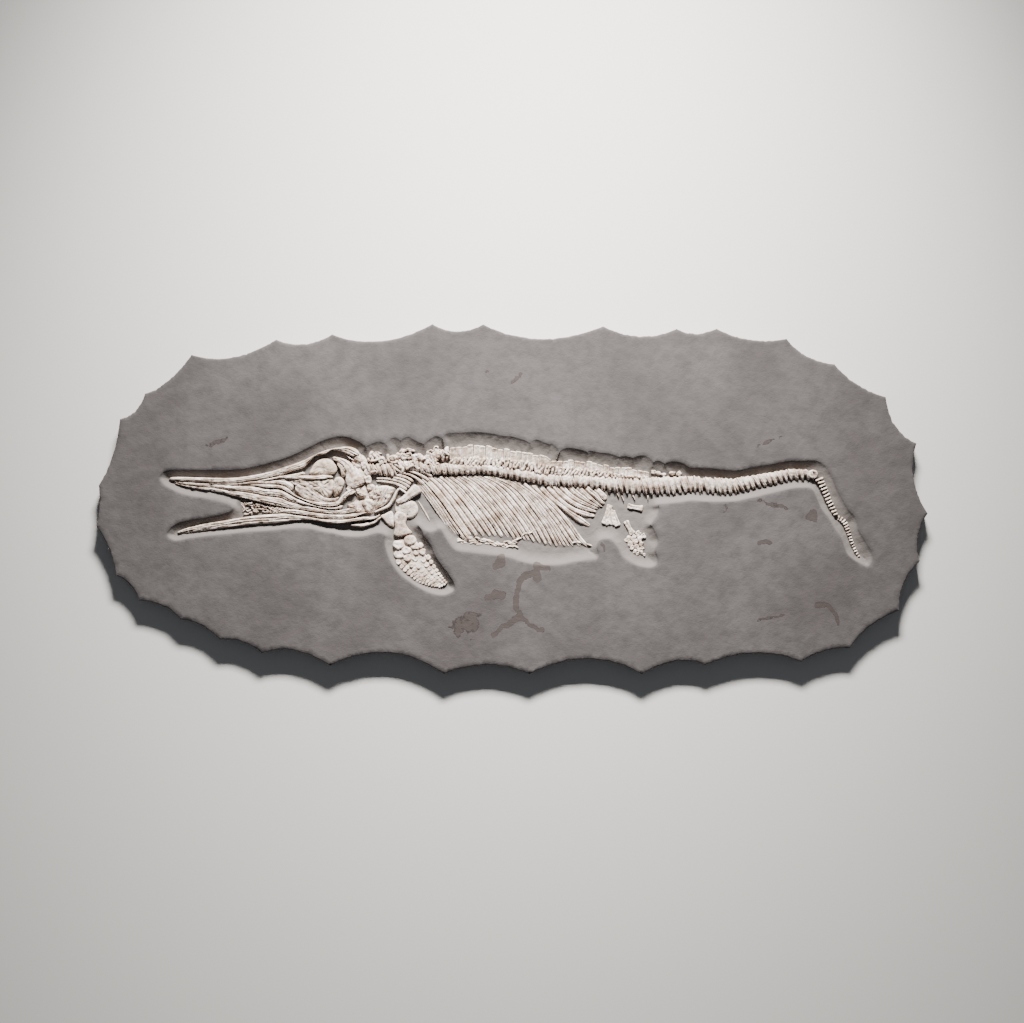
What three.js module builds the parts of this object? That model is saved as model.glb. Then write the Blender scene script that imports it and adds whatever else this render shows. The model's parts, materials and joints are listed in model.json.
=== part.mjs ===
// Fossil ichthyosaur skeleton in its stone slab, millimetres, +Z up out of the carved face.
// The slab lies on its flat back, +X runs from the snout to the tail and +Y from belly to back.
// The origin is under the middle of the slab, on the plane of its back.
import * as THREE from 'three';

// Driving dimensions, in millimetres
const SLAB_THICKNESS = 40;
const RECESS_DEPTH = 15;
const SKULL_HEIGHT = 13;
const JAW_HEIGHT = 12;
const COLUMN_HEIGHT = 12;
const SPINE_HEIGHT = 9;
const RIB_HEIGHT = 9;
const RIB_WIDTH_OF_PITCH = 0.8;
const RIB_WIDEST = 10;
const LIMB_HEIGHT = 11;
const DIGIT_HEIGHT = 9;
const PLATE_BEVEL = 2.4;
const NODE_GAP = 0.4;

const FACE_Z = SLAB_THICKNESS;
const FLOOR_Z = SLAB_THICKNESS - RECESS_DEPTH;

// Finishes
const slabStone = new THREE.MeshStandardMaterial({ color: 0x96908b, roughness: 0.95, metalness: 0 });
const paleBone = new THREE.MeshStandardMaterial({ color: 0xcdc1b4, roughness: 0.85, metalness: 0 });
const darkBone = new THREE.MeshStandardMaterial({ color: 0xb0a294, roughness: 0.85, metalness: 0 });

// The scalloped edge, clockwise from the left: each chipped bay runs from a tip to the next tip
// through its deepest point. [tip x, tip y, deepest x, deepest y]
const SCALLOPS = [
  [-1034, 34, -999, 112], [-981, 200, -942, 222], [-918, 264, -896, 272], [-877, 284, -836, 320],
  [-802, 361, -698, 356], [-590, 399, -522, 388], [-450, 412, -330, 396], [-199, 438, -137, 420],
  [-72, 437, 72, 402], [228, 432, 322, 408], [412, 426, 458, 415], [512, 426, 598, 399],
  [687, 401, 738, 358], [807, 337, 862, 289], [935, 255, 960, 184], [1012, 139, 1006, 50],
  [1040, -36, 1016, -98], [1020, -156, 981, -212], [969, -279, 896, -319], [845, -373, 782, -381],
  [723, -407, 605, -387], [483, -415, 410, -407], [324, -438, 188, -401], [44, -438, -62, -416],
  [-170, -438, -310, -386], [-455, -417, -545, -380], [-626, -386, -675, -358],
  [-731, -352, -776, -318], [-829, -301, -874, -268], [-932, -254, -955, -216],
  [-991, -190, -1009, -125], [-1040, -67, -1033, -17],
];
const BAY_STEPS = 4;

// The prepared hollow around the skeleton, clockwise from the tip of the snout: the edge of the
// face and the foot of its coved wall. [edge x, edge y, foot x, foot y]
const HOLLOW_OVER_SKULL = [
  [-882, 50, -864, 50], [-870, 69, -856, 56], [-850, 72, -845, 57], [-800, 72, -800, 57],
  [-700, 73, -700, 55], [-650, 80, -648, 62], [-600, 93, -595, 71], [-570, 102, -562, 81],
  [-540, 114, -530, 96], [-520, 124, -508, 107], [-480, 144, -472, 123], [-460, 151, -455, 129],
  [-435, 157, -432, 133], [-400, 151, -398, 132],
];
const HOLLOW_OVER_BACK = [
  [-366, 131, -372, 110], [-335, 144, -335, 116], [-314, 136, -314, 106], [-292, 155, -290, 120],
  [-279, 147, -278, 122], [-260, 156, -263, 127], [-221, 138, -222, 115], [-190, 158, -190, 131],
  [-174, 151, -170, 125], [-163, 164, -158, 133], [-100, 168, -100, 139], [-50, 164, -50, 135],
  [0, 157, 0, 127], [44, 141, 44, 111], [60, 149, 58, 118], [78, 143, 78, 114], [101, 138, 100, 101],
  [120, 121, 110, 95], [140, 128, 140, 101], [187, 118, 190, 97], [220, 116, 220, 89],
  [268, 106, 262, 80], [320, 109, 320, 84], [355, 93, 350, 66], [400, 94, 398, 69],
];
const HOLLOW_OVER_TAIL = [
  [444, 80, 440, 61], [500, 76, 500, 57], [570, 72, 570, 55], [650, 87, 650, 69], [690, 95, 685, 78],
  [750, 97, 745, 75], [785, 82, 768, 62], [813, 27, 795, 18], [843, -27, 822, -38],
  [869, -80, 852, -80], [900, -132, 876, -135], [903, -150, 884, -148], [893, -168, 880, -155],
  [875, -165, 868, -150], [830, -123, 843, -115], [803, -70, 822, -72], [770, -20, 783, -20],
  [745, 26, 750, 42], [715, 27, 718, 42], [650, 14, 652, 32], [590, 0, 585, 16],
  [520, -8, 520, 9], [450, -5, 448, 13], [385, -12, 385, 5],
];
const HOLLOW_ROUND_HIND_FIN = [
  [366, -14, 360, 0], [366, -38, 352, -33], [348, -64, 333, -62], [365, -95, 345, -97],
  [360, -132, 343, -133], [366, -150, 349, -146], [345, -172, 338, -155], [290, -155, 300, -137],
  [262, -120, 277, -105], [222, -103, 218, -85], [214, -124, 200, -120], [212, -151, 188, -136],
];
const HOLLOW_UNDER_BELLY = [
  [155, -158, 148, -142], [85, -166, 85, -147], [20, -156, 22, -135], [-60, -140, -60, -112],
  [-130, -132, -122, -107], [-160, -108, -148, -88], [-180, -76, -172, -58], [-205, -83, -205, -62],
];
const HOLLOW_ROUND_FORE_FIN = [
  [-222, -77, -222, -56], [-234, -66, -248, -58], [-225, -79, -243, -78], [-212, -101, -225, -108],
  [-192, -140, -206, -147], [-160, -185, -175, -192], [-142, -222, -156, -219],
  [-168, -241, -172, -229], [-225, -227, -218, -216], [-282, -188, -263, -185],
  [-316, -130, -301, -130], [-320, -90, -303, -83],
];
const HOLLOW_UNDER_JAW = [
  [-350, -89, -345, -74], [-395, -95, -395, -79], [-445, -89, -445, -75], [-525, -74, -525, -60],
  [-600, -80, -600, -66], [-700, -88, -700, -74], [-800, -99, -800, -89], [-856, -101, -846, -91],
  [-864, -90, -847, -86], [-830, -58, -820, -71], [-750, -44, -745, -55], [-702, -29, -688, -42],
  [-697, -22, -676, -26], [-715, -12, -696, -1], [-770, 1, -760, 16], [-830, 14, -824, 28],
  [-870, 34, -862, 44],
];
const HOLLOW = [
  ...HOLLOW_OVER_SKULL, ...HOLLOW_OVER_BACK, ...HOLLOW_OVER_TAIL, ...HOLLOW_ROUND_HIND_FIN,
  ...HOLLOW_UNDER_BELLY, ...HOLLOW_ROUND_FORE_FIN, ...HOLLOW_UNDER_JAW,
];
const COVE_WAY_IN = 0.35;
const COVE_WAY_DOWN = 0.7;
const COVE_FOOT = 0.72;

// Skull, jaws and shoulder plates: outlines seen from above
const SKULL = [
  [-861, 50], [-850, 55], [-750, 53], [-680, 54], [-620, 66], [-570, 80], [-520, 98], [-480, 117],
  [-440, 128], [-400, 130], [-385, 122], [-375, 103], [-368, 80], [-366, 50], [-360, 25], [-352, 5],
  [-350, -12], [-358, -28], [-400, -36], [-450, -30], [-500, -24], [-565, -19], [-600, -15],
  [-650, -5], [-700, 8], [-750, 19], [-800, 26], [-850, 40],
];
const EYE = { x: -467, y: 52, across: 40, high: 52, sides: 20 };
const JAW_FRAGMENTS = [
  [-688, 1], [-650, -8], [-600, -18], [-565, -22], [-563, -27], [-600, -32], [-650, -37],
  [-668, -39], [-672, -34], [-665, -22], [-672, -12],
];
const LOWER_JAW = [
  [-841, -86], [-830, -78], [-790, -66], [-750, -59], [-690, -48], [-650, -40], [-600, -35],
  [-560, -30], [-500, -31], [-450, -38], [-400, -44], [-362, -42], [-345, -45], [-338, -52],
  [-350, -64], [-370, -72], [-400, -75], [-430, -73], [-470, -60], [-520, -51], [-570, -57],
  [-650, -64], [-750, -76], [-810, -84],
];
const CORACOID_NEAR = [
  [-280, -14], [-268, -8], [-252, -6], [-241, -14], [-236, -25], [-238, -38], [-247, -47],
  [-262, -49], [-268, -43], [-276, -35], [-284, -26],
];
const CORACOID_FAR = [
  [-327, -43], [-314, -37], [-302, -36], [-298, -46], [-298, -60], [-299, -72], [-308, -68], [-318, -57],
];
const HUMERUS = [
  [-289, -44], [-281, -42], [-272, -47], [-266, -52], [-264, -60], [-258, -72], [-250, -84],
  [-262, -88], [-275, -94], [-293, -96], [-296, -88], [-292, -74], [-292, -60], [-294, -50],
];
const RADIUS = { x: -285, y: -115, across: 12, high: 11, sides: 10 };
const ULNA = { x: -256, y: -105, across: 13, high: 13, sides: 10 };
const FORE_FIN_DIGITS = [
  [-297, -129], [-285, -128], [-270, -122], [-255, -121], [-245, -120], [-239, -110], [-232, -112],
  [-222, -124], [-205, -155], [-180, -190], [-160, -215], [-166, -221], [-180, -222], [-215, -212],
  [-250, -193], [-280, -160], [-290, -145],
];
const HIND_FIN_DIGITS = [
  [284, -102], [297, -99], [308, -98], [316, -86], [322, -82], [333, -92], [330, -105],
  [328, -120], [335, -138], [325, -142], [310, -133], [300, -122], [290, -110],
];

// Rods of the girdles and fins: centre line and width. [x, y, width]
const RODS = {
  scapula: [[-287, -8, 10], [-262, 7, 12], [-240, 19, 20]],
  clavicle: [[-345, -32, 6], [-310, -18, 8], [-295, 4, 8], [-285, 24, 6]],
  ilium: [[245, -15, 12], [239, -38, 8], [232, -62, 10]],
  ischium: [[254, -31, 9], [259, -48, 8], [265, -66, 11]],
  pubis: [[290, -18, 15], [309, -21, 10], [328, -24, 16]],
  femur: [[285, -56, 13], [293, -71, 9], [302, -86, 15]],
  gastralia: [[-126, -105, 5], [-95, -106, 6], [-50, -109, 6], [-4, -113, 6]],
};

// The backbone from skull to tail. [x, underside y, top of the arches y, top of the spines y]
const BACKBONE = [
  [-364, 62, 92], [-340, 57, 95], [-300, 55, 92], [-280, 70, 100], [-250, 70, 96], [-210, 60, 90],
  [-156, 60, 100, 131], [-100, 62, 103, 137], [-50, 61, 101, 131], [0, 50, 97, 124],
  [50, 42, 90, 115], [98, 31, 82, 99], [150, 32, 76, 99], [200, 27, 70, 94], [250, 18, 64, 82],
  [300, 12, 58, 79], [344, 12, 53, 66], [400, 11, 57], [450, 18, 57], [500, 13, 53], [550, 12, 51],
  [600, 24, 60], [650, 35, 67], [700, 47, 75], [742, 50, 72],
];
const TAIL_BEND = [[752, 60, 20], [768, 50, 17], [784, 20, 15], [800, -16, 12], [816, -43, 10]];
const TAIL_FLUKE = [[818, -47, 9], [832, -52, 8], [842, -75, 8], [850, -103, 8], [867, -140, 7], [874, -147, 6]];

// Ribs: five leading ribs, each from the backbone to its lower end, read at the same six heights
// down the side. The ribs between them are blended from the two nearest.
const LEADING_RIBS = [
  { mark: -157, line: [[-240, 38], [-226, 26], [-197, -11], [-167, -55], [-148, -82], [-136, -98]] },
  { mark: -116, line: [[-218, 52], [-198, 35], [-161, -8], [-126, -59], [-110, -80], [-96, -97]] },
  { mark: -60, line: [[-172, 52], [-143, 32], [-106, -9], [-70, -55], [-55, -77], [-41, -97]] },
  { mark: 4, line: [[-122, 53], [-88, 35], [-51, 0], [-12, -47], [14, -84], [34, -116]] },
  { mark: 81, line: [[-46, 50], [-16, 38], [17, 16], [55, -32], [88, -81], [108, -123]] },
  { mark: 139, line: [[44, 31], [68, 9], [92, -14], [130, -57], [164, -104], [184, -126]] },
];
const RIB_MARKS = [
  -162, -155, -148, -120, -103, -86, -70, -56, -41, -26, -13, -1, 11, 21, 33, 47, 61, 74, 86, 95,
  103, 111, 121, 135, 149,
];

// The short ribs behind them fan out from the backbone and sweep together towards the hip
const HIP_RIBS = 8;
const HIP_RIB_HEADS = { from: [80, 24], to: [214, 16] };
const HIP_RIB_BENDS = { from: [130, -26], to: [226, 8] };
const HIP_RIB_TIPS = { from: [204, -76], to: [236, 1] };

// A closed surface, gathered from rings of points and the bands and caps between them
class Skin {
  constructor() {
    this.points = [];
    this.faces = [];
  }

  ring(points) {
    const start = this.points.length;
    this.points.push(...points);
    return points.map((_, i) => start + i);
  }

  band(lower, upper) {
    const count = lower.length;
    for (let i = 0; i < count; i += 1) {
      const next = (i + 1) % count;
      this.faces.push([lower[i], lower[next], upper[next]]);
      this.faces.push([lower[i], upper[next], upper[i]]);
    }
  }

  cap(ring, facing, holes = []) {
    const flat = (ids) => ids.map((id) => new THREE.Vector2(this.points[id].x, this.points[id].y));
    const ids = [ring, ...holes].flat();
    for (const [a, b, c] of THREE.ShapeUtils.triangulateShape(flat(ring), holes.map(flat))) {
      const corners = [a, b, c].map((i) => this.points[ids[i]]);
      const turn = (corners[1].x - corners[0].x) * (corners[2].y - corners[0].y)
        - (corners[2].x - corners[0].x) * (corners[1].y - corners[0].y);
      const face = turn * facing > 0 ? [a, b, c] : [a, c, b];
      this.faces.push(face.map((i) => ids[i]));
    }
  }

  fan(ring, flipped) {
    for (let i = 1; i < ring.length - 1; i += 1) {
      const face = [ring[0], ring[i], ring[i + 1]];
      this.faces.push(flipped ? face.reverse() : face);
    }
  }

  mesh(name, material) {
    const geometry = new THREE.BufferGeometry().setFromPoints(this.points);
    geometry.setIndex(this.faces.flat());
    geometry.computeVertexNormals();
    const mesh = new THREE.Mesh(geometry, material);
    mesh.name = name;
    return mesh;
  }
}

const lift = (outline, z) => outline.map(([x, y]) => new THREE.Vector3(x, y, z));
const blend = (a, b, t) => b.map((value, i) => a[i] + (value - a[i]) * t);

function counterClockwise(outline) {
  const area = THREE.ShapeUtils.area(outline.map(([x, y]) => new THREE.Vector2(x, y)));
  return area > 0 ? outline : [...outline].reverse();
}

// An outline moved inwards: each corner goes along the mean of its two edge normals
function inset(outline, distance) {
  return outline.map((corner, i) => {
    const here = new THREE.Vector2(...corner);
    const before = new THREE.Vector2(...outline.at(i - 1));
    const after = new THREE.Vector2(...outline[(i + 1) % outline.length]);
    const along = here.clone().sub(before).normalize().add(after.clone().sub(here).normalize());
    along.normalize();
    return [here.x - along.y * distance, here.y + along.x * distance];
  });
}

const oval = ({ x, y, across, high, sides }, grow = 0) => Array.from({ length: sides }, (_, i) => {
  const turn = (i / sides) * Math.PI * 2;
  return [x + (across + grow) * Math.cos(turn), y + (high + grow) * Math.sin(turn)];
});

// A plate of bone lying on the floor of the hollow, its upper edge bevelled
function plate(name, outline, height, material, opening = null) {
  const edge = counterClockwise(outline);
  const skin = new Skin();
  const foot = skin.ring(lift(edge, FLOOR_Z));
  const shoulder = skin.ring(lift(edge, FLOOR_Z + height - PLATE_BEVEL));
  const crown = skin.ring(lift(inset(edge, PLATE_BEVEL), FLOOR_Z + height));
  skin.band(foot, shoulder);
  skin.band(shoulder, crown);
  if (opening) {
    const inner = counterClockwise(opening);
    const low = skin.ring(lift(inner, FLOOR_Z));
    const high = skin.ring(lift(inner, FLOOR_Z + height));
    skin.band(high, low);
    skin.cap(foot, -1, [low]);
    skin.cap(crown, 1, [high]);
  } else {
    skin.cap(foot, -1);
    skin.cap(crown, 1);
  }
  return skin.mesh(name, material);
}

// A rod lying on the floor: flat below, with two shoulders and a crown. Each station is
// [x, y, width] and its section stands across the line, or along a given direction.
function rod(name, stations, height, material, across = null) {
  const skin = new Skin();
  const rings = stations.map(([x, y, width], i) => {
    const [ax, ay] = stations[Math.max(i - 1, 0)];
    const [bx, by] = stations[Math.min(i + 1, stations.length - 1)];
    const side = across ?? new THREE.Vector2(ay - by, bx - ax).normalize();
    const half = width / 2;
    const corners = [[-1, 0], [1, 0], [0.86, 0.66], [0, 1], [-0.86, 0.66]];
    return skin.ring(corners.map(([s, h]) => new THREE.Vector3(
      x + side.x * half * s, y + side.y * half * s, FLOOR_Z + height * h,
    )));
  });
  for (let i = 0; i < rings.length - 1; i += 1) {
    skin.band(rings[i], rings[i + 1]);
  }
  skin.fan(rings[0], true);
  skin.fan(rings.at(-1), false);
  return skin.mesh(name, material);
}

// The stone: a scalloped slab with a flat back, a flat face and the coved hollow
function slab() {
  const outline = SCALLOPS.flatMap(([tipX, tipY, deepX, deepY], i) => {
    const [nextX, nextY] = SCALLOPS[(i + 1) % SCALLOPS.length];
    const pull = new THREE.Vector2(2 * deepX - (tipX + nextX) / 2, 2 * deepY - (tipY + nextY) / 2);
    const bay = new THREE.QuadraticBezierCurve(
      new THREE.Vector2(tipX, tipY), pull, new THREE.Vector2(nextX, nextY),
    );
    return bay.getPoints(BAY_STEPS).slice(0, -1).map((point) => [point.x, point.y]);
  }).reverse();
  const edge = HOLLOW.map(([x, y]) => [x, y]).reverse();
  const foot = HOLLOW.map((station) => blend(station, station.slice(2), COVE_FOOT)).reverse();
  const cove = edge.map((point, i) => blend(point, foot[i], COVE_WAY_IN));

  const skin = new Skin();
  const back = skin.ring(lift(outline, 0));
  const front = skin.ring(lift(outline, FACE_Z));
  const rim = skin.ring(lift(edge, FACE_Z));
  const middle = skin.ring(lift(cove, FACE_Z - RECESS_DEPTH * COVE_WAY_DOWN));
  const floor = skin.ring(lift(foot, FLOOR_Z));
  skin.band(back, front);
  skin.band(rim, middle);
  skin.band(middle, floor);
  skin.cap(back, -1);
  skin.cap(front, 1, [rim]);
  skin.cap(floor, 1);
  return skin.mesh('slab', slabStone);
}

// One stretch of the backbone between two x values, or of the spines over it
function backboneStretch(name, fromX, toX, height, lower, upper) {
  const stations = BACKBONE.filter(([x]) => x >= fromX && x <= toX);
  const trimmed = stations.map((station, i) => {
    const shift = (i === 0 ? NODE_GAP : 0) - (i === stations.length - 1 ? NODE_GAP : 0);
    const low = station[lower] + (lower > 1 ? NODE_GAP * 2 : 0);
    return [station[0] + shift, (low + station[upper]) / 2, station[upper] - low];
  });
  return rod(name, trimmed, height, paleBone, new THREE.Vector2(0, 1));
}

// The centre line of the rib that crosses the middle of the flank at this x
function ribLine(mark) {
  const last = LEADING_RIBS.length - 2;
  const found = LEADING_RIBS.findLastIndex((rib) => rib.mark <= mark);
  const i = Math.min(Math.max(found, 0), last);
  const [before, after] = [LEADING_RIBS[i], LEADING_RIBS[i + 1]];
  const t = (mark - before.mark) / (after.mark - before.mark);
  return before.line.map((point, k) => blend(point, after.line[k], t));
}

function hipRibLine(index) {
  const t = index / (HIP_RIBS - 1);
  const head = new THREE.Vector2(...blend(HIP_RIB_HEADS.from, HIP_RIB_HEADS.to, t));
  const bend = new THREE.Vector2(...blend(HIP_RIB_BENDS.from, HIP_RIB_BENDS.to, t));
  const tip = new THREE.Vector2(...blend(HIP_RIB_TIPS.from, HIP_RIB_TIPS.to, t));
  const curve = new THREE.QuadraticBezierCurve(head, bend, tip);
  return curve.getPoints(5).map((point) => [point.x, point.y]);
}

// The shortest way from a point to a line of points
function clearance([x, y], line) {
  const here = new THREE.Vector3(x, y, 0);
  const ways = line.slice(1).map((end, i) => {
    const stretch = new THREE.Line3(new THREE.Vector3(...line[i], 0), new THREE.Vector3(...end, 0));
    return stretch.closestPointToPoint(here, true, new THREE.Vector3()).distanceTo(here);
  });
  return Math.min(...ways);
}

// Each rib is as wide as the room between its neighbours lets it be
function ribStations(lines, index) {
  const neighbours = [lines[index - 1], lines[index + 1]].filter(Boolean);
  return lines[index].map((point) => {
    const room = Math.min(...neighbours.map((line) => clearance(point, line)));
    return [...point, Math.min(room * RIB_WIDTH_OF_PITCH, RIB_WIDEST)];
  });
}

const numbered = (stem, number) => `${stem}_${String(number).padStart(2, '0')}`;

const skeleton = new THREE.Group();
skeleton.add(slab());
skeleton.add(plate('skull', SKULL, SKULL_HEIGHT, paleBone, oval(EYE, 1)));
skeleton.add(plate('eye_ring', oval(EYE), SKULL_HEIGHT - 2, darkBone));
skeleton.add(plate('jaw_fragments', JAW_FRAGMENTS, DIGIT_HEIGHT, paleBone));
skeleton.add(plate('lower_jaw', LOWER_JAW, JAW_HEIGHT, paleBone));

skeleton.add(backboneStretch('neck_vertebrae', -364, -156, COLUMN_HEIGHT, 1, 2));
skeleton.add(backboneStretch('back_vertebrae_front', -156, 98, COLUMN_HEIGHT, 1, 2));
skeleton.add(backboneStretch('back_vertebrae_rear', 98, 344, COLUMN_HEIGHT, 1, 2));
skeleton.add(backboneStretch('tail_vertebrae', 344, 742, COLUMN_HEIGHT, 1, 2));
skeleton.add(backboneStretch('neural_spines_front', -156, 98, SPINE_HEIGHT, 2, 3));
skeleton.add(backboneStretch('neural_spines_rear', 98, 344, SPINE_HEIGHT, 2, 3));
skeleton.add(rod('tail_bend_vertebrae', TAIL_BEND, COLUMN_HEIGHT, paleBone));
skeleton.add(rod('tail_fluke_vertebrae', TAIL_FLUKE, DIGIT_HEIGHT, paleBone));

const ribLines = [
  ...RIB_MARKS.map(ribLine),
  ...Array.from({ length: HIP_RIBS }, (_, i) => hipRibLine(i)),
];
ribLines.forEach((_, i) => {
  skeleton.add(rod(numbered('rib', i + 1), ribStations(ribLines, i), RIB_HEIGHT, paleBone));
});

for (const [name, stations] of Object.entries(RODS)) {
  skeleton.add(rod(name, stations, LIMB_HEIGHT, paleBone));
}
skeleton.add(plate('coracoid_near', CORACOID_NEAR, LIMB_HEIGHT, paleBone));
skeleton.add(plate('coracoid_far', CORACOID_FAR, LIMB_HEIGHT, paleBone));
skeleton.add(plate('humerus', HUMERUS, LIMB_HEIGHT + 1, paleBone));
skeleton.add(plate('radius', oval(RADIUS), LIMB_HEIGHT, paleBone));
skeleton.add(plate('ulna', oval(ULNA), LIMB_HEIGHT, paleBone));
skeleton.add(plate('fore_fin_digits', FORE_FIN_DIGITS, DIGIT_HEIGHT, paleBone));
skeleton.add(plate('hind_fin_digits', HIND_FIN_DIGITS, DIGIT_HEIGHT, paleBone));

export default skeleton;
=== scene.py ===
"""The looks of a fossil ichthyosaur skeleton in its stone slab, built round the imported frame.

Shapes are worked out in millimetres, seen from above with +X towards the tail and +Y towards the
back, and turned into metres when a mesh is made.
"""
import json

import bmesh
import bpy
import numpy as np
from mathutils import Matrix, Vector
from mathutils.geometry import delaunay_2d_cdt

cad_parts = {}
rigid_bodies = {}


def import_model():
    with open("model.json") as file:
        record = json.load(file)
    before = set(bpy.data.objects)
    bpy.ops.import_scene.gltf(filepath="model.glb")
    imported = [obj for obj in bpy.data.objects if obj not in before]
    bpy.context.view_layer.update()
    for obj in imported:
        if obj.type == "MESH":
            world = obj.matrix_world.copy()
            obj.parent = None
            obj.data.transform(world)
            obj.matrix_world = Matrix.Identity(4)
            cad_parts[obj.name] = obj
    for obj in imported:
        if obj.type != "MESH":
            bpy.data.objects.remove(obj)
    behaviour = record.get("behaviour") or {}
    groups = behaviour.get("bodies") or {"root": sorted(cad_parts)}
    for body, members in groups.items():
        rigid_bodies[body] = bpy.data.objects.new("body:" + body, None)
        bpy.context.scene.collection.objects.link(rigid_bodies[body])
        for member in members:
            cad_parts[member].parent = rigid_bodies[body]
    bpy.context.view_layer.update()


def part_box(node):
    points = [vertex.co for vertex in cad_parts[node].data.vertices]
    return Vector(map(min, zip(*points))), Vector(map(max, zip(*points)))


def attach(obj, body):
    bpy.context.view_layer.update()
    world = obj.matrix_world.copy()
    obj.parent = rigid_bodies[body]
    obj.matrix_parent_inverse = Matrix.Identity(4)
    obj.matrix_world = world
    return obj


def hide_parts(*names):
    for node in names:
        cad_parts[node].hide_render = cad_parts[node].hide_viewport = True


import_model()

# Levels and driving sizes, in millimetres
MM = 0.001
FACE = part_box("slab")[1][2] / MM
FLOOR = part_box("skull")[0][2] / MM
BURIED = 1.5
CHAMFER = 3.0
CHAMFER_DROP = 1.6
RIB_HEIGHT = 8.5
CENTRUM_HEIGHT = 14.6
SPINE_HEIGHT = 9.5
SPINE_PITCH = 14.6
GRID_STEP = 5.0
FLOOR_STEP = 4.0
GRID_REACH = (1045, 445)
CELL_REACH = (1048, 448)

# Counts and shares: points along a rib, how much of its room a rib fills, how high the rings round
# the slab's sides lie, squares across the lattice of hills, and points worked on at a time
RIB_POINTS = 48
RIB_FILL = 0.97
SIDE_LEVELS = (0.86, 0.76, 0.62, 0.42, 0.2, 0.0)
LATTICE = 64
CHUNK = 2000

# The photograph's frame: the slab's middle is at this pixel, at this many millimetres a pixel
PHOTO_MIDDLE = (512.0, 511.5)
SLAB_MIDDLE = (512.0, 499.0)
MM_PER_PIXEL = 2.5
PHOTO_WIDTH = 1024
LENS = 50.0
SENSOR = 36.0

# The scalloped edge, clockwise from the left: tip x, tip y, deepest x, deepest y of each bay
SCALLOPS = np.array([
    [-1034, 34, -999, 112], [-981, 200, -942, 222], [-918, 264, -896, 272], [-877, 284, -836, 320],
    [-802, 361, -698, 356], [-590, 399, -522, 388], [-450, 412, -330, 396], [-199, 438, -137, 420],
    [-72, 437, 72, 402], [228, 432, 322, 408], [412, 426, 458, 415], [512, 426, 598, 399],
    [687, 401, 738, 358], [807, 337, 862, 289], [935, 255, 960, 184], [1012, 139, 1006, 50],
    [1040, -36, 1016, -98], [1020, -156, 981, -212], [969, -279, 896, -319], [845, -373, 782, -381],
    [723, -407, 605, -387], [483, -415, 410, -407], [324, -438, 188, -401], [44, -438, -62, -416],
    [-170, -438, -310, -386], [-455, -417, -545, -380], [-626, -386, -675, -358],
    [-731, -352, -776, -318], [-829, -301, -874, -268], [-932, -254, -955, -216],
    [-991, -190, -1009, -125], [-1040, -67, -1033, -17],
], float)
BAY_STEPS = 40

# The hollow, clockwise from the snout: edge x, edge y, foot x, foot y of its coved wall.
# A station given twice makes a sharp corner.
HOLLOW_OVER_SKULL = [
    [-882, 50, -864, 50], [-879, 61, -861, 53], [-870, 69, -856, 56], [-850, 72, -845, 57],
    [-800, 72, -800, 57], [-750, 72.5, -750, 55], [-700, 73, -700, 55], [-670, 76, -670, 58],
    [-650, 80, -648, 62], [-620, 87, -618, 67], [-600, 93, -595, 71], [-570, 102, -562, 81],
    [-540, 114, -530, 96], [-520, 124, -508, 107], [-500, 134, -490, 116], [-480, 144, -472, 123],
    [-460, 151, -455, 129], [-435, 157, -432, 133], [-415, 156, -412, 134], [-400, 151, -398, 132],
    [-380, 142, -384, 123],
]
HOLLOW_OVER_BACK = [
    [-366, 131.5, -372, 110], [-366, 131.5, -372, 110], [-355, 137, -355, 110],
    [-335, 144.5, -335, 116], [-322, 141, -322, 110], [-314, 136, -314, 106],
    [-314, 136, -314, 106], [-306, 149, -304, 112], [-292, 155, -290, 120],
    [-279, 147, -278, 122], [-279, 147, -278, 122], [-260, 156, -263, 127],
    [-243, 147, -243, 119], [-221, 138, -222, 115], [-221, 138, -222, 115],
    [-207, 149, -207, 121], [-190, 158, -190, 131], [-174, 151, -170, 125],
    [-174, 151, -170, 125], [-163, 164, -158, 133], [-130, 167, -130, 135],
    [-100, 168, -100, 139], [-75, 167.5, -75, 140], [-50, 164, -50, 135], [-20, 158.5, -22, 129],
    [0, 157, 0, 127], [25, 150, 25, 121], [44, 141, 44, 111], [44, 141, 44, 111],
    [60, 149.5, 58, 118], [78, 143, 78, 114], [93, 137, 92, 108], [93, 137, 92, 108],
    [101, 138.5, 100, 101], [120, 121, 110, 95], [120, 121, 110, 95], [140, 128.5, 140, 101],
    [170, 124, 170, 99], [187, 118, 190, 97], [187, 118, 190, 97], [195, 121.5, 203, 95],
    [220, 116.5, 220, 89], [240, 115, 240, 86], [268, 106, 262, 80], [268, 106, 262, 80],
    [282, 107.5, 285, 82], [303, 103, 305, 80], [303, 103, 305, 80], [320, 109.5, 320, 84],
    [338, 107, 333, 76], [355, 93, 350, 66], [355, 93, 350, 66], [366, 96.5, 366, 72],
    [382, 88.5, 380, 64], [382, 88.5, 380, 64], [400, 94.5, 398, 69], [425, 91, 424, 71],
]
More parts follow.
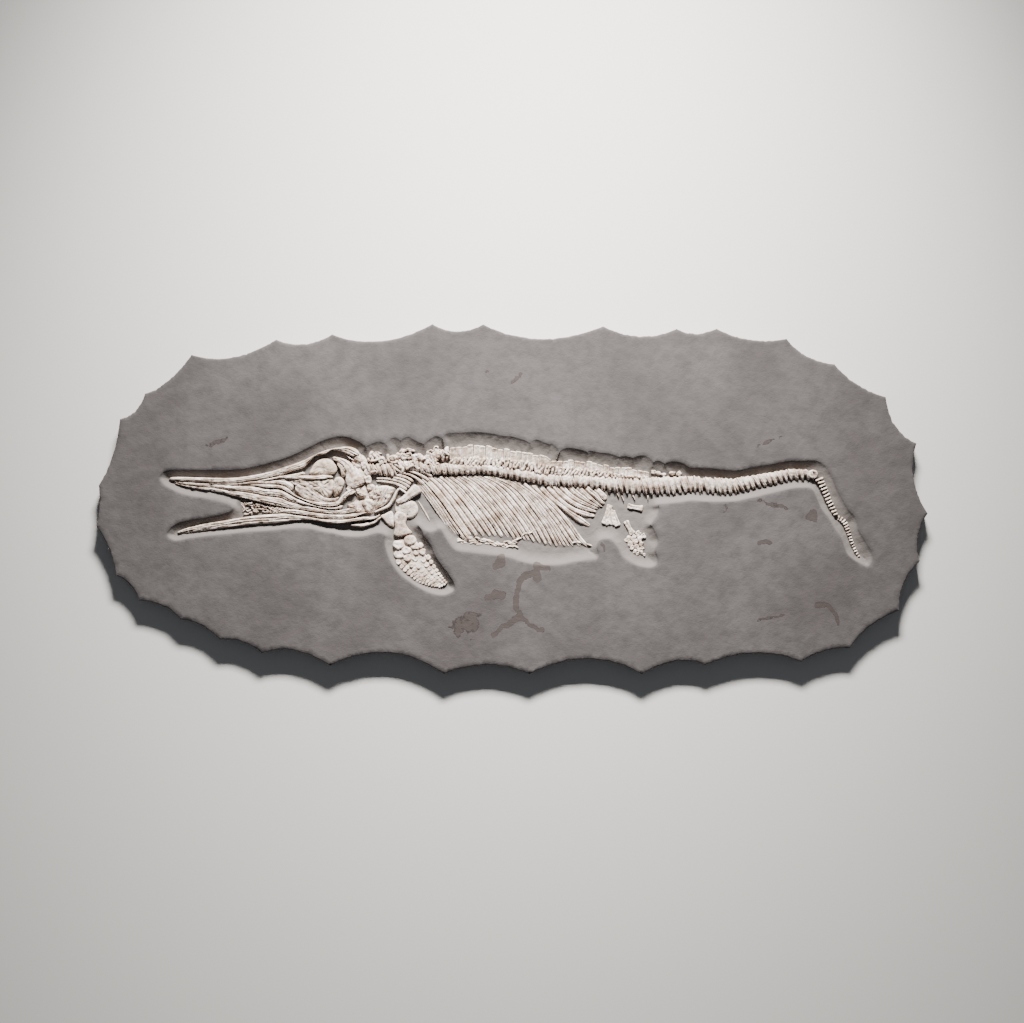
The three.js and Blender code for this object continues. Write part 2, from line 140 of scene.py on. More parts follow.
HOLLOW_OVER_TAIL = [
    [444, 80, 440, 61], [470, 77, 465, 61], [500, 76.5, 500, 57], [540, 72, 540, 54],
    [570, 72, 570, 55], [600, 79, 600, 62], [650, 87, 650, 69], [690, 95, 685, 78],
    [720, 95, 720, 78], [750, 97, 745, 75], [768, 94, 757, 72], [785, 82, 768, 62],
    [800, 58, 782, 45], [813, 27, 795, 18], [827, 0, 804, -10], [843, -27, 822, -38],
    [862, -50, 843, -55], [869, -80, 852, -80], [885, -107, 862, -108], [900, -132, 876, -135],
    [903, -150, 884, -148], [893, -168, 880, -155], [875, -165, 868, -150],
    [842, -143, 852, -132], [830, -123, 843, -115], [820, -95, 834, -92], [803, -70, 822, -72],
    [788, -45, 803, -50], [770, -20, 783, -20], [757, 10, 768, 12], [745, 26, 750, 42],
    [715, 27, 718, 42], [690, 23, 692, 41], [650, 14, 652, 32], [615, 5, 615, 23],
    [590, 0, 585, 16], [560, -6, 560, 10], [520, -8, 520, 9], [480, -7, 480, 9],
    [450, -5, 448, 13], [420, -9, 420, 8], [385, -12.5, 385, 5],
]
HOLLOW_ROUND_HIND_FIN = [
    [366, -14, 360, 0], [369, -24, 356, -18], [366, -38, 352, -33], [357, -52, 342, -48],
    [348, -64, 333, -62], [348, -64, 333, -62], [355, -74, 338, -78], [365, -95, 345, -97],
    [367, -108, 346, -110], [361, -122, 343, -123], [360, -132, 343, -133],
    [366, -150, 349, -146], [362, -165, 348, -154], [345, -172, 338, -155],
    [315, -168, 318, -148], [290, -155, 300, -137], [272, -140, 286, -122],
    [262, -120, 277, -105], [250, -105, 265, -88], [238, -101, 243, -80], [222, -103, 218, -85],
    [216, -112, 203, -108], [214, -124, 200, -120], [219, -140, 196, -132],
    [212, -151, 188, -136], [185, -154, 172, -138],
]
HOLLOW_UNDER_BELLY = [
    [155, -158, 148, -142], [120, -165, 118, -146], [85, -166, 85, -147], [50, -163, 52, -143],
    [20, -156, 22, -135], [0, -149, 0, -125], [-30, -142.5, -30, -119], [-60, -140, -60, -112],
    [-100, -135, -98, -108], [-130, -132, -122, -107], [-147, -125, -135, -102],
    [-160, -108, -148, -88], [-170, -92, -155, -78], [-180, -76, -172, -58],
    [-190, -80, -186, -60], [-205, -83, -205, -62], [-222, -77, -222, -55],
]
HOLLOW_ROUND_FORE_FIN = [
    [-234, -66, -250, -58], [-225, -79, -243, -78], [-220, -92, -236, -95],
    [-212, -101, -225, -108], [-200, -120, -215, -127], [-192, -140, -206, -147],
    [-178, -162, -193, -170], [-160, -185, -175, -192], [-146, -207, -160, -210],
    [-142, -222, -156, -219], [-147, -232, -160, -225], [-168, -241, -172, -227],
    [-195, -239, -195, -221], [-225, -227, -218, -214], [-255, -209, -243, -199],
    [-282, -188, -263, -183], [-303, -160, -284, -158], [-316, -130, -299, -130],
    [-321, -105, -304, -105], [-320, -90, -302, -85],
]
HOLLOW_UNDER_JAW = [
    [-335, -86, -322, -66], [-350, -89, -345, -72], [-370, -94, -368, -76], [-395, -95, -395, -79],
    [-420, -93, -420, -78], [-445, -87, -445, -73], [-470, -83, -468, -65], [-500, -76, -495, -58],
    [-525, -73, -525, -54], [-550, -74, -550, -57], [-570, -76, -572, -61], [-600, -79, -600, -64],
    [-650, -82, -650, -67], [-700, -87, -700, -72], [-750, -92, -750, -79], [-800, -98, -800, -87],
    [-825, -103, -825, -90], [-842, -105, -838, -91], [-856, -100, -845, -90],
    [-864, -90, -847, -86], [-859, -78, -841, -81], [-848, -67, -832, -76], [-830, -58, -815, -69],
    [-800, -52, -790, -63], [-750, -44, -745, -55], [-715, -35, -703, -48], [-702, -28, -685, -40],
    [-697, -22, -672, -24], [-702, -18, -675, -12], [-715, -12, -692, 1], [-740, -5, -715, 9],
    [-770, 1.5, -760, 18], [-800, 6, -797, 23], [-830, 14, -824, 29], [-850, 23, -843, 36],
    [-870, 34, -856, 44],
]
HOLLOW = np.array(
    HOLLOW_OVER_SKULL + HOLLOW_OVER_BACK + HOLLOW_OVER_TAIL + HOLLOW_ROUND_HIND_FIN
    + HOLLOW_UNDER_BELLY + HOLLOW_ROUND_FORE_FIN + HOLLOW_UNDER_JAW, float)
HOLLOW_POINTS = 1600
# The hollow's wall: how far down it its loops of points lie, how much wider than its plan it is
# worked out, between which widths in millimetres, and how sharply it curves
COVE_WAYS = (0.0, 0.05, 0.12, 0.22, 0.36, 0.54, 0.76, 1.0)
COVE_STRETCH = 1.4
COVE_REACH = (20.0, 44.0)
COVE_CURVE = 1.65

# The backbone: from where to where each stretch runs, and at each x the underside, the top of the
# centra, the top of the arches and the top of the spines
BACK_FRONT = (-156, 98)
BACK_REAR = (98, 344)
TAIL = (344, 754)
BACKBONE = np.array([
    [-156, 60, 88, 100, 131], [-100, 62, 85, 103, 137], [-75, 64, 86, 103, 138],
    [-50, 61, 84, 101, 131], [0, 50, 76, 97, 124], [50, 42, 68, 90, 115], [80, 34, 64, 85, 112],
    [100, 30, 62, 82, 97], [150, 32, 60, 76, 99], [200, 27, 58, 70, 94], [250, 18, 55, 64, 82],
    [300, 12, 54, 58, 79], [344, 12, 53, 54, 67], [400, 11, 57, 57, 60], [450, 18, 57, 57, 57],
    [500, 13, 53, 53, 53], [550, 12, 51, 51, 51], [600, 24, 60, 60, 60], [650, 35, 67, 67, 67],
    [700, 47, 76, 76, 76], [740, 50, 73, 73, 73], [752, 52, 70, 70, 70],
], float)

# Ribs: six leading ribs read at the same heights down the flank, and where each rib crosses it
LEADING_RIBS = np.array([
    [[-240, 44], [-226, 27], [-197, -11], [-167, -55], [-148, -82], [-134, -101]],
    [[-222, 58], [-198, 36], [-161, -8], [-126, -59], [-110, -80], [-92, -106]],
    [[-176, 58], [-143, 33], [-106, -9], [-70, -55], [-55, -77], [-36, -107]],
    [[-125, 60], [-88, 37], [-51, 0], [-12, -47], [14, -84], [35, -117]],
    [[-59, 58], [-18, 42], [17, 16], [55, -32], [88, -81], [115, -138]],
    [[34, 40], [66, 11], [92, -12], [130, -57], [164, -104], [189, -131]],
], float)
LEADING_MARKS = np.array([-157, -116, -60, 4, 81, 139], float)
RIB_MARKS = np.array([
    -162, -155, -148, -120, -103, -86, -70, -56, -41, -26, -13, -1, 11, 21, 33, 47, 61, 74, 86, 95,
    103, 111, 121, 135, 149,
], float)
HIP_RIB_LINES = np.array([
    [[72, 30], [99, 2], [125, -18], [150, -38], [178, -57], [206, -74]],
    [[88, 33], [112, 6], [138, -16], [162, -30], [190, -39], [219, -45]],
    [[104, 33], [126, 10], [152, -9], [176, -21], [198, -28], [222, -35]],
    [[122, 33], [142, 13], [163, -2], [184, -12], [205, -21], [224, -29]],
    [[143, 33], [160, 16], [178, 3], [195, -8], [212, -17], [228, -24]],
    [[162, 33], [178, 18], [193, 5], [208, -7], [222, -17], [234, -24]],
    [[184, 31], [197, 19], [210, 8], [220, -3], [229, -10], [238, -14]],
    [[206, 28], [215, 21], [224, 13], [231, 6], [237, 0], [242, -3]],
], float)


def way_along(line):
    """How far along a line of plan points each of them lies."""
    return np.concatenate([[0], np.cumsum(np.hypot(*np.diff(line[:, :2], axis=0).T))])


def on_curve(places, way, curve):
    """What a curve holds at these places on the way along it, straight between its points."""
    return np.stack([np.interp(places, way, column) for column in curve.T], -1)


def even(points, count, closed=False):
    """Points at even steps on the Catmull-Rom curve through the given ones.

    Between two given points the curve is the cubic whose slopes at its ends are half the way
    between their neighbours. Columns after the first two are carried along.
    """
    p = np.asarray(points, float)
    ends = (p[-1:], p[:2]) if closed else (2 * p[:1] - p[1:2], 2 * p[-1:] - p[-2:-1])
    ring = np.concatenate([ends[0], p, ends[1]])
    before, start, end, after = ring[:-3], ring[1:-2], ring[2:-1], ring[3:]
    t = np.linspace(0, 1, 12, endpoint=False)[:, None, None]
    curve = 0.5 * (2 * start + (end - before) * t
                   + (2 * before - 5 * start + 4 * end - after) * t ** 2
                   + (3 * start - before - 3 * end + after) * t ** 3)
    curve = curve.transpose(1, 0, 2).reshape(-1, p.shape[1])
    curve = np.concatenate([curve, curve[:1] if closed else p[-1:]])
    way = way_along(curve)
    return on_curve(np.linspace(0, way[-1], count, endpoint=not closed), way, curve)


def hills(x, y, size, seed, octaves=1):
    """Smooth random hills from -1 to 1: random heights on a square lattice of the given spacing,
    eased between its corners, with each further octave half as wide and half as high."""
    total = np.zeros(np.broadcast(x, y).shape)
    for octave in range(octaves):
        lattice = np.random.default_rng(seed + octave).uniform(-1, 1, (LATTICE, LATTICE))
        u, v = x / size * 2 ** octave + 17.3, y / size * 2 ** octave + 5.1
        i, j = np.floor(u).astype(int), np.floor(v).astype(int)
        s, t = u - i, v - j
        s, t = s * s * (3 - 2 * s), t * t * (3 - 2 * t)
        left, right, near, far = i % LATTICE, (i + 1) % LATTICE, j % LATTICE, (j + 1) % LATTICE
        low = lattice[left, near] * (1 - s) + lattice[right, near] * s
        high = lattice[left, far] * (1 - s) + lattice[right, far] * s
        total += (low * (1 - t) + high * t) / 2 ** octave
    return total


def normals_of(loop):
    """The unit normal of each point of a closed loop, square to the line through its neighbours."""
    along = np.roll(loop, -1, 0) - np.roll(loop, 1, 0)
    across = np.stack([-along[:, 1], along[:, 0]], 1)
    return across / np.maximum(np.hypot(*across.T), 1e-9)[:, None]


def inside(points, loop):
    """Whether each point lies inside the closed loop, by the count of edges passed along +X."""
    found = np.zeros(len(points), bool)
    (ax, ay), (bx, by) = loop.T, np.roll(loop, -1, 0).T
    for part in np.array_split(np.arange(len(points)), max(1, len(points) // CHUNK)):
        x, y = points[part, 0][:, None], points[part, 1][:, None]
        spans = (ay > y) != (by > y)
        crossing = ax + (y - ay) * (bx - ax) / np.where(by == ay, 1, by - ay)
        found[part] = (np.sum(spans & (x < crossing), 1) % 2) == 1
    return found


def free_grid(loop_points, step, jitter, seed):
    """Points of a square grid over the slab, shaken a little, off the cells that the loops pass."""
    x, y = (np.arange(-reach, reach + 1, step) for reach in GRID_REACH)
    taken = np.zeros((len(y) + 2, len(x) + 2), bool)
    column = np.rint((loop_points[:, 0] - x[0]) / step).astype(int)
    row = np.rint((loop_points[:, 1] - y[0]) / step).astype(int)
    for shift_y in (0, 1):
        for shift_x in (0, 1):
            taken[np.clip(row + shift_y, 0, len(y)), np.clip(column + shift_x, 0, len(x))] = True
    taken = taken[:len(y), :len(x)]
    grid = np.stack(np.meshgrid(x, y), -1)[~taken]
    return grid + np.random.default_rng(seed).uniform(-jitter, jitter, grid.shape)


def build(name, verts, faces, material, nodes, attributes=None):
    """A finished piece: vertices in millimetres, lists of faces, its material and what it stands
    for. Faces are turned outwards shell by shell."""
    mesh = bpy.data.meshes.new(name)
    mesh.from_pydata((np.asarray(verts) * MM).tolist(), [], faces)
    for key, values in (attributes or {}).items():
        mesh.attributes.new(key, "FLOAT", "POINT").data.foreach_set("value", values.astype(np.float32))
    shape = bmesh.new()
    shape.from_mesh(mesh)
    bmesh.ops.recalc_face_normals(shape, faces=shape.faces)
    shape.to_mesh(mesh)
    shape.free()
    mesh.shade_smooth()
    mesh.materials.append(material)
    piece = bpy.data.objects.new(name, mesh)
    bpy.context.scene.collection.objects.link(piece)
    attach(piece, "root")
    if nodes:
        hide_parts(*nodes)
    return piece


def bone(name, shells, material, nodes):
    """One piece made of closed shells. A shell is an array of stations by points round the ring by
    four, or a stack of such arrays: x, y, z and how much painted shade, mixed with grime, darkens the
    point's colour, 0 to 1. Its sides are quads and its two end rings are capped."""
    verts, faces, start = [], [], 0
    for shell in shells:
        rings = shell.reshape(-1, *shell.shape[-3:])
        count, stations, round_ = rings.shape[:3]
        ids = start + np.arange(count * stations * round_).reshape(count, stations, round_)
        after = np.roll(ids, -1, 2)
        quads = np.stack([ids[:, :-1], after[:, :-1], after[:, 1:], ids[:, 1:]], -1)
        faces += quads.reshape(-1, 4).tolist()
        faces += ids[:, 0, ::-1].tolist() + ids[:, -1].tolist()
        verts.append(rings.reshape(-1, 4))
        start += count * stations * round_
    verts = np.concatenate(verts)
    return build(name, verts[:, :3], faces, material, nodes, {"crevice_grime_and_shade": verts[:, 3]})


def crevice_grime_and_shade(rise, cut):
    """How much painted shade, mixed with grime, darkens a bone's colour, 0 to 1: 1 at the stone,
    falling to 0 at 0.6 of the height, and more where the surface is cut away, by half for each
    millimetre."""
    return np.clip(np.clip(1 - rise / 0.6, 0, 1) ** 1.4 + np.clip(cut, 0, None) / 2, 0, 1)


def blade(upper, lower, height, stations=40, across=13, taper=8.0, undercut=0.25, fullness=0.8,
          relief=None, sink=(0.0, 0.0), wear=0.25, fibre=0.5, seed=1):
    """A bone lying between two edges, as one closed shell.

    Across the bone its section is a crown: at angle a from one edge to the other the point lies
    cos a of the half width out and (sin a + sin u) / (1 + sin u) of the height up, to the power of
    the fullness, where u is the undercut. Near both ends, over the length of the taper, the plan
    and the height close along a quarter circle. Relief adds height, as a function of the way along
    in millimetres, the place across from -1 to 1, x and y; wear is the height of small dents, and
    fibre that of fine streaks along the bone, seven times as long as they are wide. Towards its
    two ends the bone sinks into the stone, by the square of the way from its middle.
    """
    top, bottom = even(upper, stations * 3), even(lower, stations * 3)
    middle = (top + bottom) / 2
    way = way_along(middle)
    ease = 0.5 - 0.5 * np.cos(np.linspace(0, np.pi, stations))
    ease = 0.35 * ease + 0.65 * np.linspace(0, 1, stations)
    along = ease * way[-1]
    high, low = on_curve(along, way, top), on_curve(along, way, bottom)
    centre, half = (high + low) / 2, (high - low) / 2
    close = np.minimum(along, way[-1] - along) / taper
    round_end = np.sqrt(np.maximum(1 - (1 - np.clip(close, 0, 1)) ** 2, 0.004))
    angle = np.linspace(-undercut, np.pi + undercut, across)
    side = np.cos(angle)
    rise = ((np.sin(angle) + np.sin(undercut)) / (1 + np.sin(undercut))).clip(0) ** fullness
    xy = centre[:, None] + half[:, None] * (side[None, :, None] * round_end[:, None, None])
    x, y = xy[..., 0], xy[..., 1]
    full = rise[None] * round_end[:, None] ** 0.6
    spread = side[None] * np.hypot(*half.T)[:, None]
    change = wear * hills(x, y, 5.0, seed, 2)
    change = change + fibre * hills(along[:, None] / 7 + 31 * seed, spread, 2.4, seed + 9, 2)
    if relief is not None:
        change = change + relief(along[:, None], side[None], x, y)
    lift = height * full + change * rise[None] * round_end[:, None]
    place = 2 * along / way[-1] - 1
    lift = lift - (np.where(place < 0, *sink) * place ** 2)[:, None]
    # The fourth value is painted shade mixed with grime: darkest low by the stone and in grooves and dents,
    # and all dark on the buried foot.
    top_points = np.stack([x, y, FLOOR + lift, crevice_grime_and_shade(full, -change - 0.3)], -1)
    foot = top_points[:, [-1, 0]].copy()
    foot[..., 2] = FLOOR - BURIED - max(sink)
    foot[..., 3] = 1
    return np.concatenate([top_points, foot], 1)


def widened(line, widths):
    """The two edges of a rod: its centre line moved half its width to either side."""
    line = np.asarray(line, float)
    along = np.gradient(line, axis=0)
    across = np.stack([-along[:, 1], along[:, 0]], 1)
    across /= np.hypot(*across.T)[:, None]
    half = np.asarray(widths, float)[:, None] / 2
    return line + across * half, line - across * half


def rod(line, widths, height, **form):
    """A long bone along a centre line, with a width at each of its points."""
    curve = even(np.column_stack([line, widths]), max(len(line) * 4, 12))
    return blade(*widened(curve[:, :2], curve[:, 2]), height, **form)


def splinter(middle, turn, reach, bow=(0.0, 0.0)):
    """A short line of three points: its ends lie the reach from its middle, at a turn in radians, and
    its middle point is moved aside by the bow."""
    middle = np.asarray(middle, float)
    step = np.array([np.cos(turn), np.sin(turn)]) * reach
    return [middle - step, middle + bow, middle + step]


def scalloped_edge():
    """The slab's outline: each bay is the parabola from tip to tip through its deepest point, with
    small chips bitten inwards."""
    tip, deep = SCALLOPS[:, :2], SCALLOPS[:, 2:]
    after = np.roll(tip, -1, 0)
    pull = 2 * deep - (tip + after) / 2
    t = np.linspace(0, 1, BAY_STEPS, endpoint=False)[:, None, None]
    loop = tip * (1 - t) ** 2 + 2 * pull * t * (1 - t) + after * t ** 2
    loop = loop.transpose(1, 0, 2).reshape(-1, 2)
    bite = np.abs(hills(loop[:, 0], loop[:, 1], 13, 3, 3)) * 2.2 * off_the_tips()
    return loop + bite[:, None] * normals_of(loop) * inward(loop)


def off_the_tips():
    """For each point of the edge: 0 at the tips of its bays, rising to 1 between them."""
    return np.tile(np.sin(np.linspace(0, np.pi, BAY_STEPS, endpoint=False)) ** 0.6, len(SCALLOPS))


def inward(loop):
    """1 or -1: which way the normals of this loop point to its inside."""
    (ax, ay), (bx, by) = loop.T, np.roll(loop, -1, 0).T
    return 1 if np.sum(ax * by - bx * ay) > 0 else -1


def near_line(x, y, line, width):
    """1 on a broken line of points, fading to 0 at the given width from it."""
    line = np.asarray(line, float)
    best = np.full(np.shape(x), np.inf)
    for (ax, ay), (bx, by) in zip(line[:-1], line[1:]):
        dx, dy = bx - ax, by - ay
        t = np.clip(((x - ax) * dx + (y - ay) * dy) / max(dx * dx + dy * dy, 1e-9), 0, 1)
        best = np.minimum(best, np.hypot(x - ax - t * dx, y - ay - t * dy))
    return np.clip(1 - best / width, 0, 1)


# Stains: strength, width and line of each; then the middle and half sizes of the brown patch
STAIN_LINES = [
    (0.75, 9, [[55, -165], [75, -172], [92, -172]]),
    (0.65, 10, [[62, -172], [63, -186], [66, -200]]),
    (0.6, 10, [[50, -182], [34, -196], [18, -208]]),
    (0.55, 9, [[16, -212], [12, -232], [10, -250], [14, -278], [20, -294]]),
    (0.5, 8, [[-50, -338], [-30, -328], [-10, -316], [6, -302], [22, -299]]),
    (0.45, 9, [[22, -299], [44, -312], [62, -322], [78, -327]]),
    (0.75, 10, [[-26, -146], [-29, -158], [-37, -168]]),
    (0.5, 12, [[-60, -243], [-42, -238], [-25, -240]]),
    (0.6, 11, [[742, -44], [756, -34], [760, -48]]),
    (0.4, 10, [[620, -112], [632, -108], [641, -112]]),
    (0.55, 7, [[760, -262], [785, -263], [800, -275], [808, -300], [815, -312]]),
    (0.35, 5, [[615, -305], [650, -297], [680, -285]]),
    (0.4, 7, [[6, 292], [14, 302], [24, 312]]),
    (0.35, 6, [[-62, 318], [-57, 323]]),
    (0.3, 9, [[-764, 134], [-738, 143], [-715, 150]]),
    (0.5, 5, [[227, -110], [228, -124]]),
    (0.3, 6, [[530, -10], [536, -22], [528, -34]]),
    (0.3, 7, [[615, -5], [650, -12], [688, -26]]),
    (0.25, 8, [[610, 132], [640, 141], [672, 153]]),
]
BROWN_PATCH = ((-120, -315), (54, 37))


def cove_height(points, rim, foot):
    """The height of the coved hollow, as a share from its floor to the face: 1 - d / reach, to the
    power of the curve, at the way d from the rim. The reach is the wall's width, stretched a bit."""
    width = np.clip(np.hypot(*(foot - rim).T) * COVE_STRETCH, *COVE_REACH)
    width = np.convolve(np.pad(width, 6, "wrap"), np.ones(13) / 13, "valid")
    share = np.zeros(len(points))
    for part in np.array_split(np.arange(len(points)), max(1, len(points) // CHUNK)):
        way = np.hypot(*(points[part, None] - rim[None]).transpose(2, 0, 1))
        share[part] = np.clip(1 - way.min(1) / width[way.argmin(1)], 0, 1) ** COVE_CURVE
    return share


def crowd(x, y, size=4.0):
    """How many bones lie round each point, 0 to 1: cells that hold a point of a bone count as 1, and
    each cell takes the mean of the 3 by 3 cells round it."""
    found = [piece.data for piece in bpy.context.scene.collection.objects if "bone" in piece.name
             or "row" in piece.name or "rods" in piece.name or piece.name == "sclerotic_ring"]
    points = np.concatenate([flat_points(mesh) for mesh in found]) / MM
    reach_x, reach_y = CELL_REACH
    held, _, _ = np.histogram2d(points[:, 0], points[:, 1], [
        np.arange(-reach_x, reach_x + 1, size), np.arange(-reach_y, reach_y + 1, size)])
    held = np.pad((held > 0).astype(float), 1)
    held = sum(np.roll(held, (i, j), (0, 1)) for i in (-1, 0, 1) for j in (-1, 0, 1)) / 9
    u, v = (x + reach_x) / size + 0.5, (y + reach_y) / size + 0.5
    i = np.clip(np.floor(u).astype(int), 0, held.shape[0] - 2)
    j = np.clip(np.floor(v).astype(int), 0, held.shape[1] - 2)
    s, t = u - i, v - j
    low = held[i, j] * (1 - s) + held[i + 1, j] * s
    high = held[i, j + 1] * (1 - s) + held[i + 1, j + 1] * s
    return low * (1 - t) + high * t


def flat_points(mesh):
    """The vertices of a mesh as an array, in metres."""
    points = np.empty(len(mesh.vertices) * 3)
    mesh.vertices.foreach_get("co", points)
    return points.reshape(-1, 3)


def slab_plan(loops):
    """The face, the hollow's wall and its floor in plan: points on the given loops and on two shaken
    grids between them, joined by triangles. Gives the points, the triangles, the number of the point
    that each one was made from, and how far down the wall it lies: 0 at the rim, 1 at the foot, 2 on
    the floor and -1 on the face."""
    edge, chamfer, rim, foot = loops[0], loops[1], loops[2], loops[-1]
    fixed = np.concatenate(loops)
    face_grid = free_grid(fixed, GRID_STEP, 1.0, 5)
    face_grid = face_grid[inside(face_grid, chamfer)]
    face_grid = face_grid[~inside(face_grid, rim)]
    floor_grid = free_grid(foot, FLOOR_STEP, 0.8, 6)
    floor_grid = floor_grid[inside(floor_grid, foot)]
    plan = np.concatenate([fixed, face_grid, floor_grid])

    links, start = [], 0
    for loop in loops:
        ids = start + np.arange(len(loop))
        links.append(np.stack([ids, np.roll(ids, -1)], 1))
        start += len(loop)
    made = delaunay_2d_cdt(plan.tolist(), np.concatenate(links).tolist(), [], 0, 1e-5)
    xy = np.array([list(v) for v in made[0]])
    source = np.array([ids[0] if ids else -1 for ids in made[3]])
    triangles = np.array(made[2])
    triangles = triangles[inside(xy[triangles].mean(1), edge)]

    way = np.full(len(plan), -1.0)
    way[len(edge) + len(chamfer):len(fixed)] = np.repeat(COVE_WAYS, HOLLOW_POINTS)
    way[len(fixed) + len(face_grid):] = 2.0
    return xy, triangles, source, np.where(source < 0, -1.0, way[source])


def stain_at(x, y):
    """How stained the face is, 0 to 1: the stain lines, their edges shaken, and the brown patch."""
    shaken = x + 6 * hills(x, y, 18, 31), y + 6 * hills(x, y, 18, 32)
    stain = np.zeros(len(x))
    for strength, width, line in STAIN_LINES:
        stain = np.maximum(stain, strength * np.minimum(near_line(*shaken, line, width) * 1.8, 1))
    (patch_x, patch_y), (patch_w, patch_h) = BROWN_PATCH
    reach = np.hypot((x - patch_x) / patch_w, (y - patch_y) / patch_h)
    return np.maximum(stain, 0.35 * np.clip(1.5 * (1.1 - reach) + 0.5 * hills(x, y, 22, 33, 2), 0, 1))


def slab_sides(top_loop, turn, top_ids, start):
    """The slab's sides: rings that go down from its edge, each dented inwards, and the quads from one
    to the next. The new points are numbered from the start; the last ring is the back's outline."""
    normal = normals_of(top_loop) * turn
    rings = []
    for k, level in enumerate(SIDE_LEVELS):
        rough = np.abs(hills(top_loop[:, 0] + 40 * level, top_loop[:, 1], 24, 40 + k, 3))
        depth = 3.4 * rough * np.sin(np.pi * min(level + 0.25, 1)) * off_the_tips()
        ring = top_loop + normal * depth[:, None]
        rings.append(np.column_stack([ring, np.full(len(ring), FACE * level)]))
    count, total = len(top_ids), len(top_ids) * len(SIDE_LEVELS)
    below = start + np.arange(total)
    above = np.concatenate([top_ids, below[:-count]])
    around = np.arange(total) // count * count + (np.arange(total) + 1) % count
    quads = np.stack([above, below, below[around], above[around]], 1)
    return np.concatenate(rings), quads, below[-count:]


def slab_piece(material):
    """The stone: one closed mesh. Its face, coved hollow and floor are one surface over the plan,
    triangulated between the scalloped edge, the loops of the cove and shaken grids; the sides go
    down from the chamfered edge in rough steps, and the back is flat."""
    edge = scalloped_edge()
    turn = inward(edge)
    chamfer_width = CHAMFER + hills(edge[:, 0], edge[:, 1], 30, 8, 2)
    chamfer = edge + normals_of(edge) * turn * (chamfer_width * (0.35 + 0.65 * off_the_tips()))[:, None]
    hollow = even(HOLLOW, HOLLOW_POINTS, closed=True)
    rim, foot = hollow[:, :2], hollow[:, 2:]
    cove = [rim + (foot - rim) * way for way in COVE_WAYS]
    xy, triangles, source, way = slab_plan([edge, chamfer, *cove])

    x, y = xy.T
    swell = 0.5 * hills(x, y, 260, 11, 2) + 0.35 * hills(x, y, 60, 12, 3)
    z = FACE - 1.0 + swell
    in_cove = way >= 0
    drop = np.zeros(len(xy))
    drop[in_cove] = 1 - cove_height(xy[in_cove], rim, foot)
    scrape = 0.6 * hills(x, y, 9, 14, 2)
    z = np.where(in_cove, z * (1 - drop) + FLOOR * drop, z)
    z = np.where(in_cove & (way > 0), z + scrape * np.minimum(drop * 2, 1), z)
    for strength, width, line in STAIN_LINES:
        z -= 0.35 * strength * near_line(x, y, line, width) * (way < 0)
    is_edge = (source >= 0) & (source < len(edge))
    z = np.where(is_edge, z - CHAMFER_DROP - 0.8 * np.abs(hills(x, y, 17, 15, 2)), z)
    z = np.minimum(z, FACE)

    edge_ids = np.flatnonzero(is_edge)
    edge_ids = edge_ids[np.argsort(source[edge_ids])]
    side_points, sides, back = slab_sides(xy[edge_ids], turn, edge_ids, len(xy))
    verts = np.concatenate([np.column_stack([xy, z]), side_points])
    faces = triangles.tolist() + sides.tolist() + [back.tolist()]
    pad = np.zeros(len(side_points))
    attributes = {
        "carved": np.concatenate([np.where(in_cove, np.clip(drop * 3, 0, 1), 0.0), pad]),
        # Painted shade: how crowded with bones each point of the hollow is, which darkens the stone between
        # them.
        "packed": np.concatenate([np.where(in_cove, crowd(x, y), 0.0), pad]),
        "stain": np.concatenate([stain_at(x, y), pad]),
        "chip": np.concatenate([np.where(is_edge, 1.0, 0.0), pad + 0.5]),
    }
    return build("stone_slab", verts, faces, material, ["slab"], attributes)


def rib_lines():
    """The centre line of every rib, head to tip: those of the flank are blended from the two
    leading ribs at either side of the place where each crosses the flank."""
    lead = np.array([even(line, RIB_POINTS) for line in LEADING_RIBS])
    gap = np.diff(LEADING_MARKS)
    place = np.interp(RIB_MARKS, LEADING_MARKS, np.arange(len(LEADING_MARKS)))
    place = np.where(RIB_MARKS < LEADING_MARKS[0], (RIB_MARKS - LEADING_MARKS[0]) / gap[0], place)
    past = (RIB_MARKS - LEADING_MARKS[-1]) / gap[-1]
    place = np.where(past > 0, len(gap) + past, place)
    low = np.clip(np.floor(place).astype(int), 0, len(lead) - 2)
    t = (place - low)[:, None, None]
    flank = lead[low] * (1 - t) + lead[low + 1] * t
    return np.concatenate([flank, [even(line, RIB_POINTS) for line in HIP_RIB_LINES]])


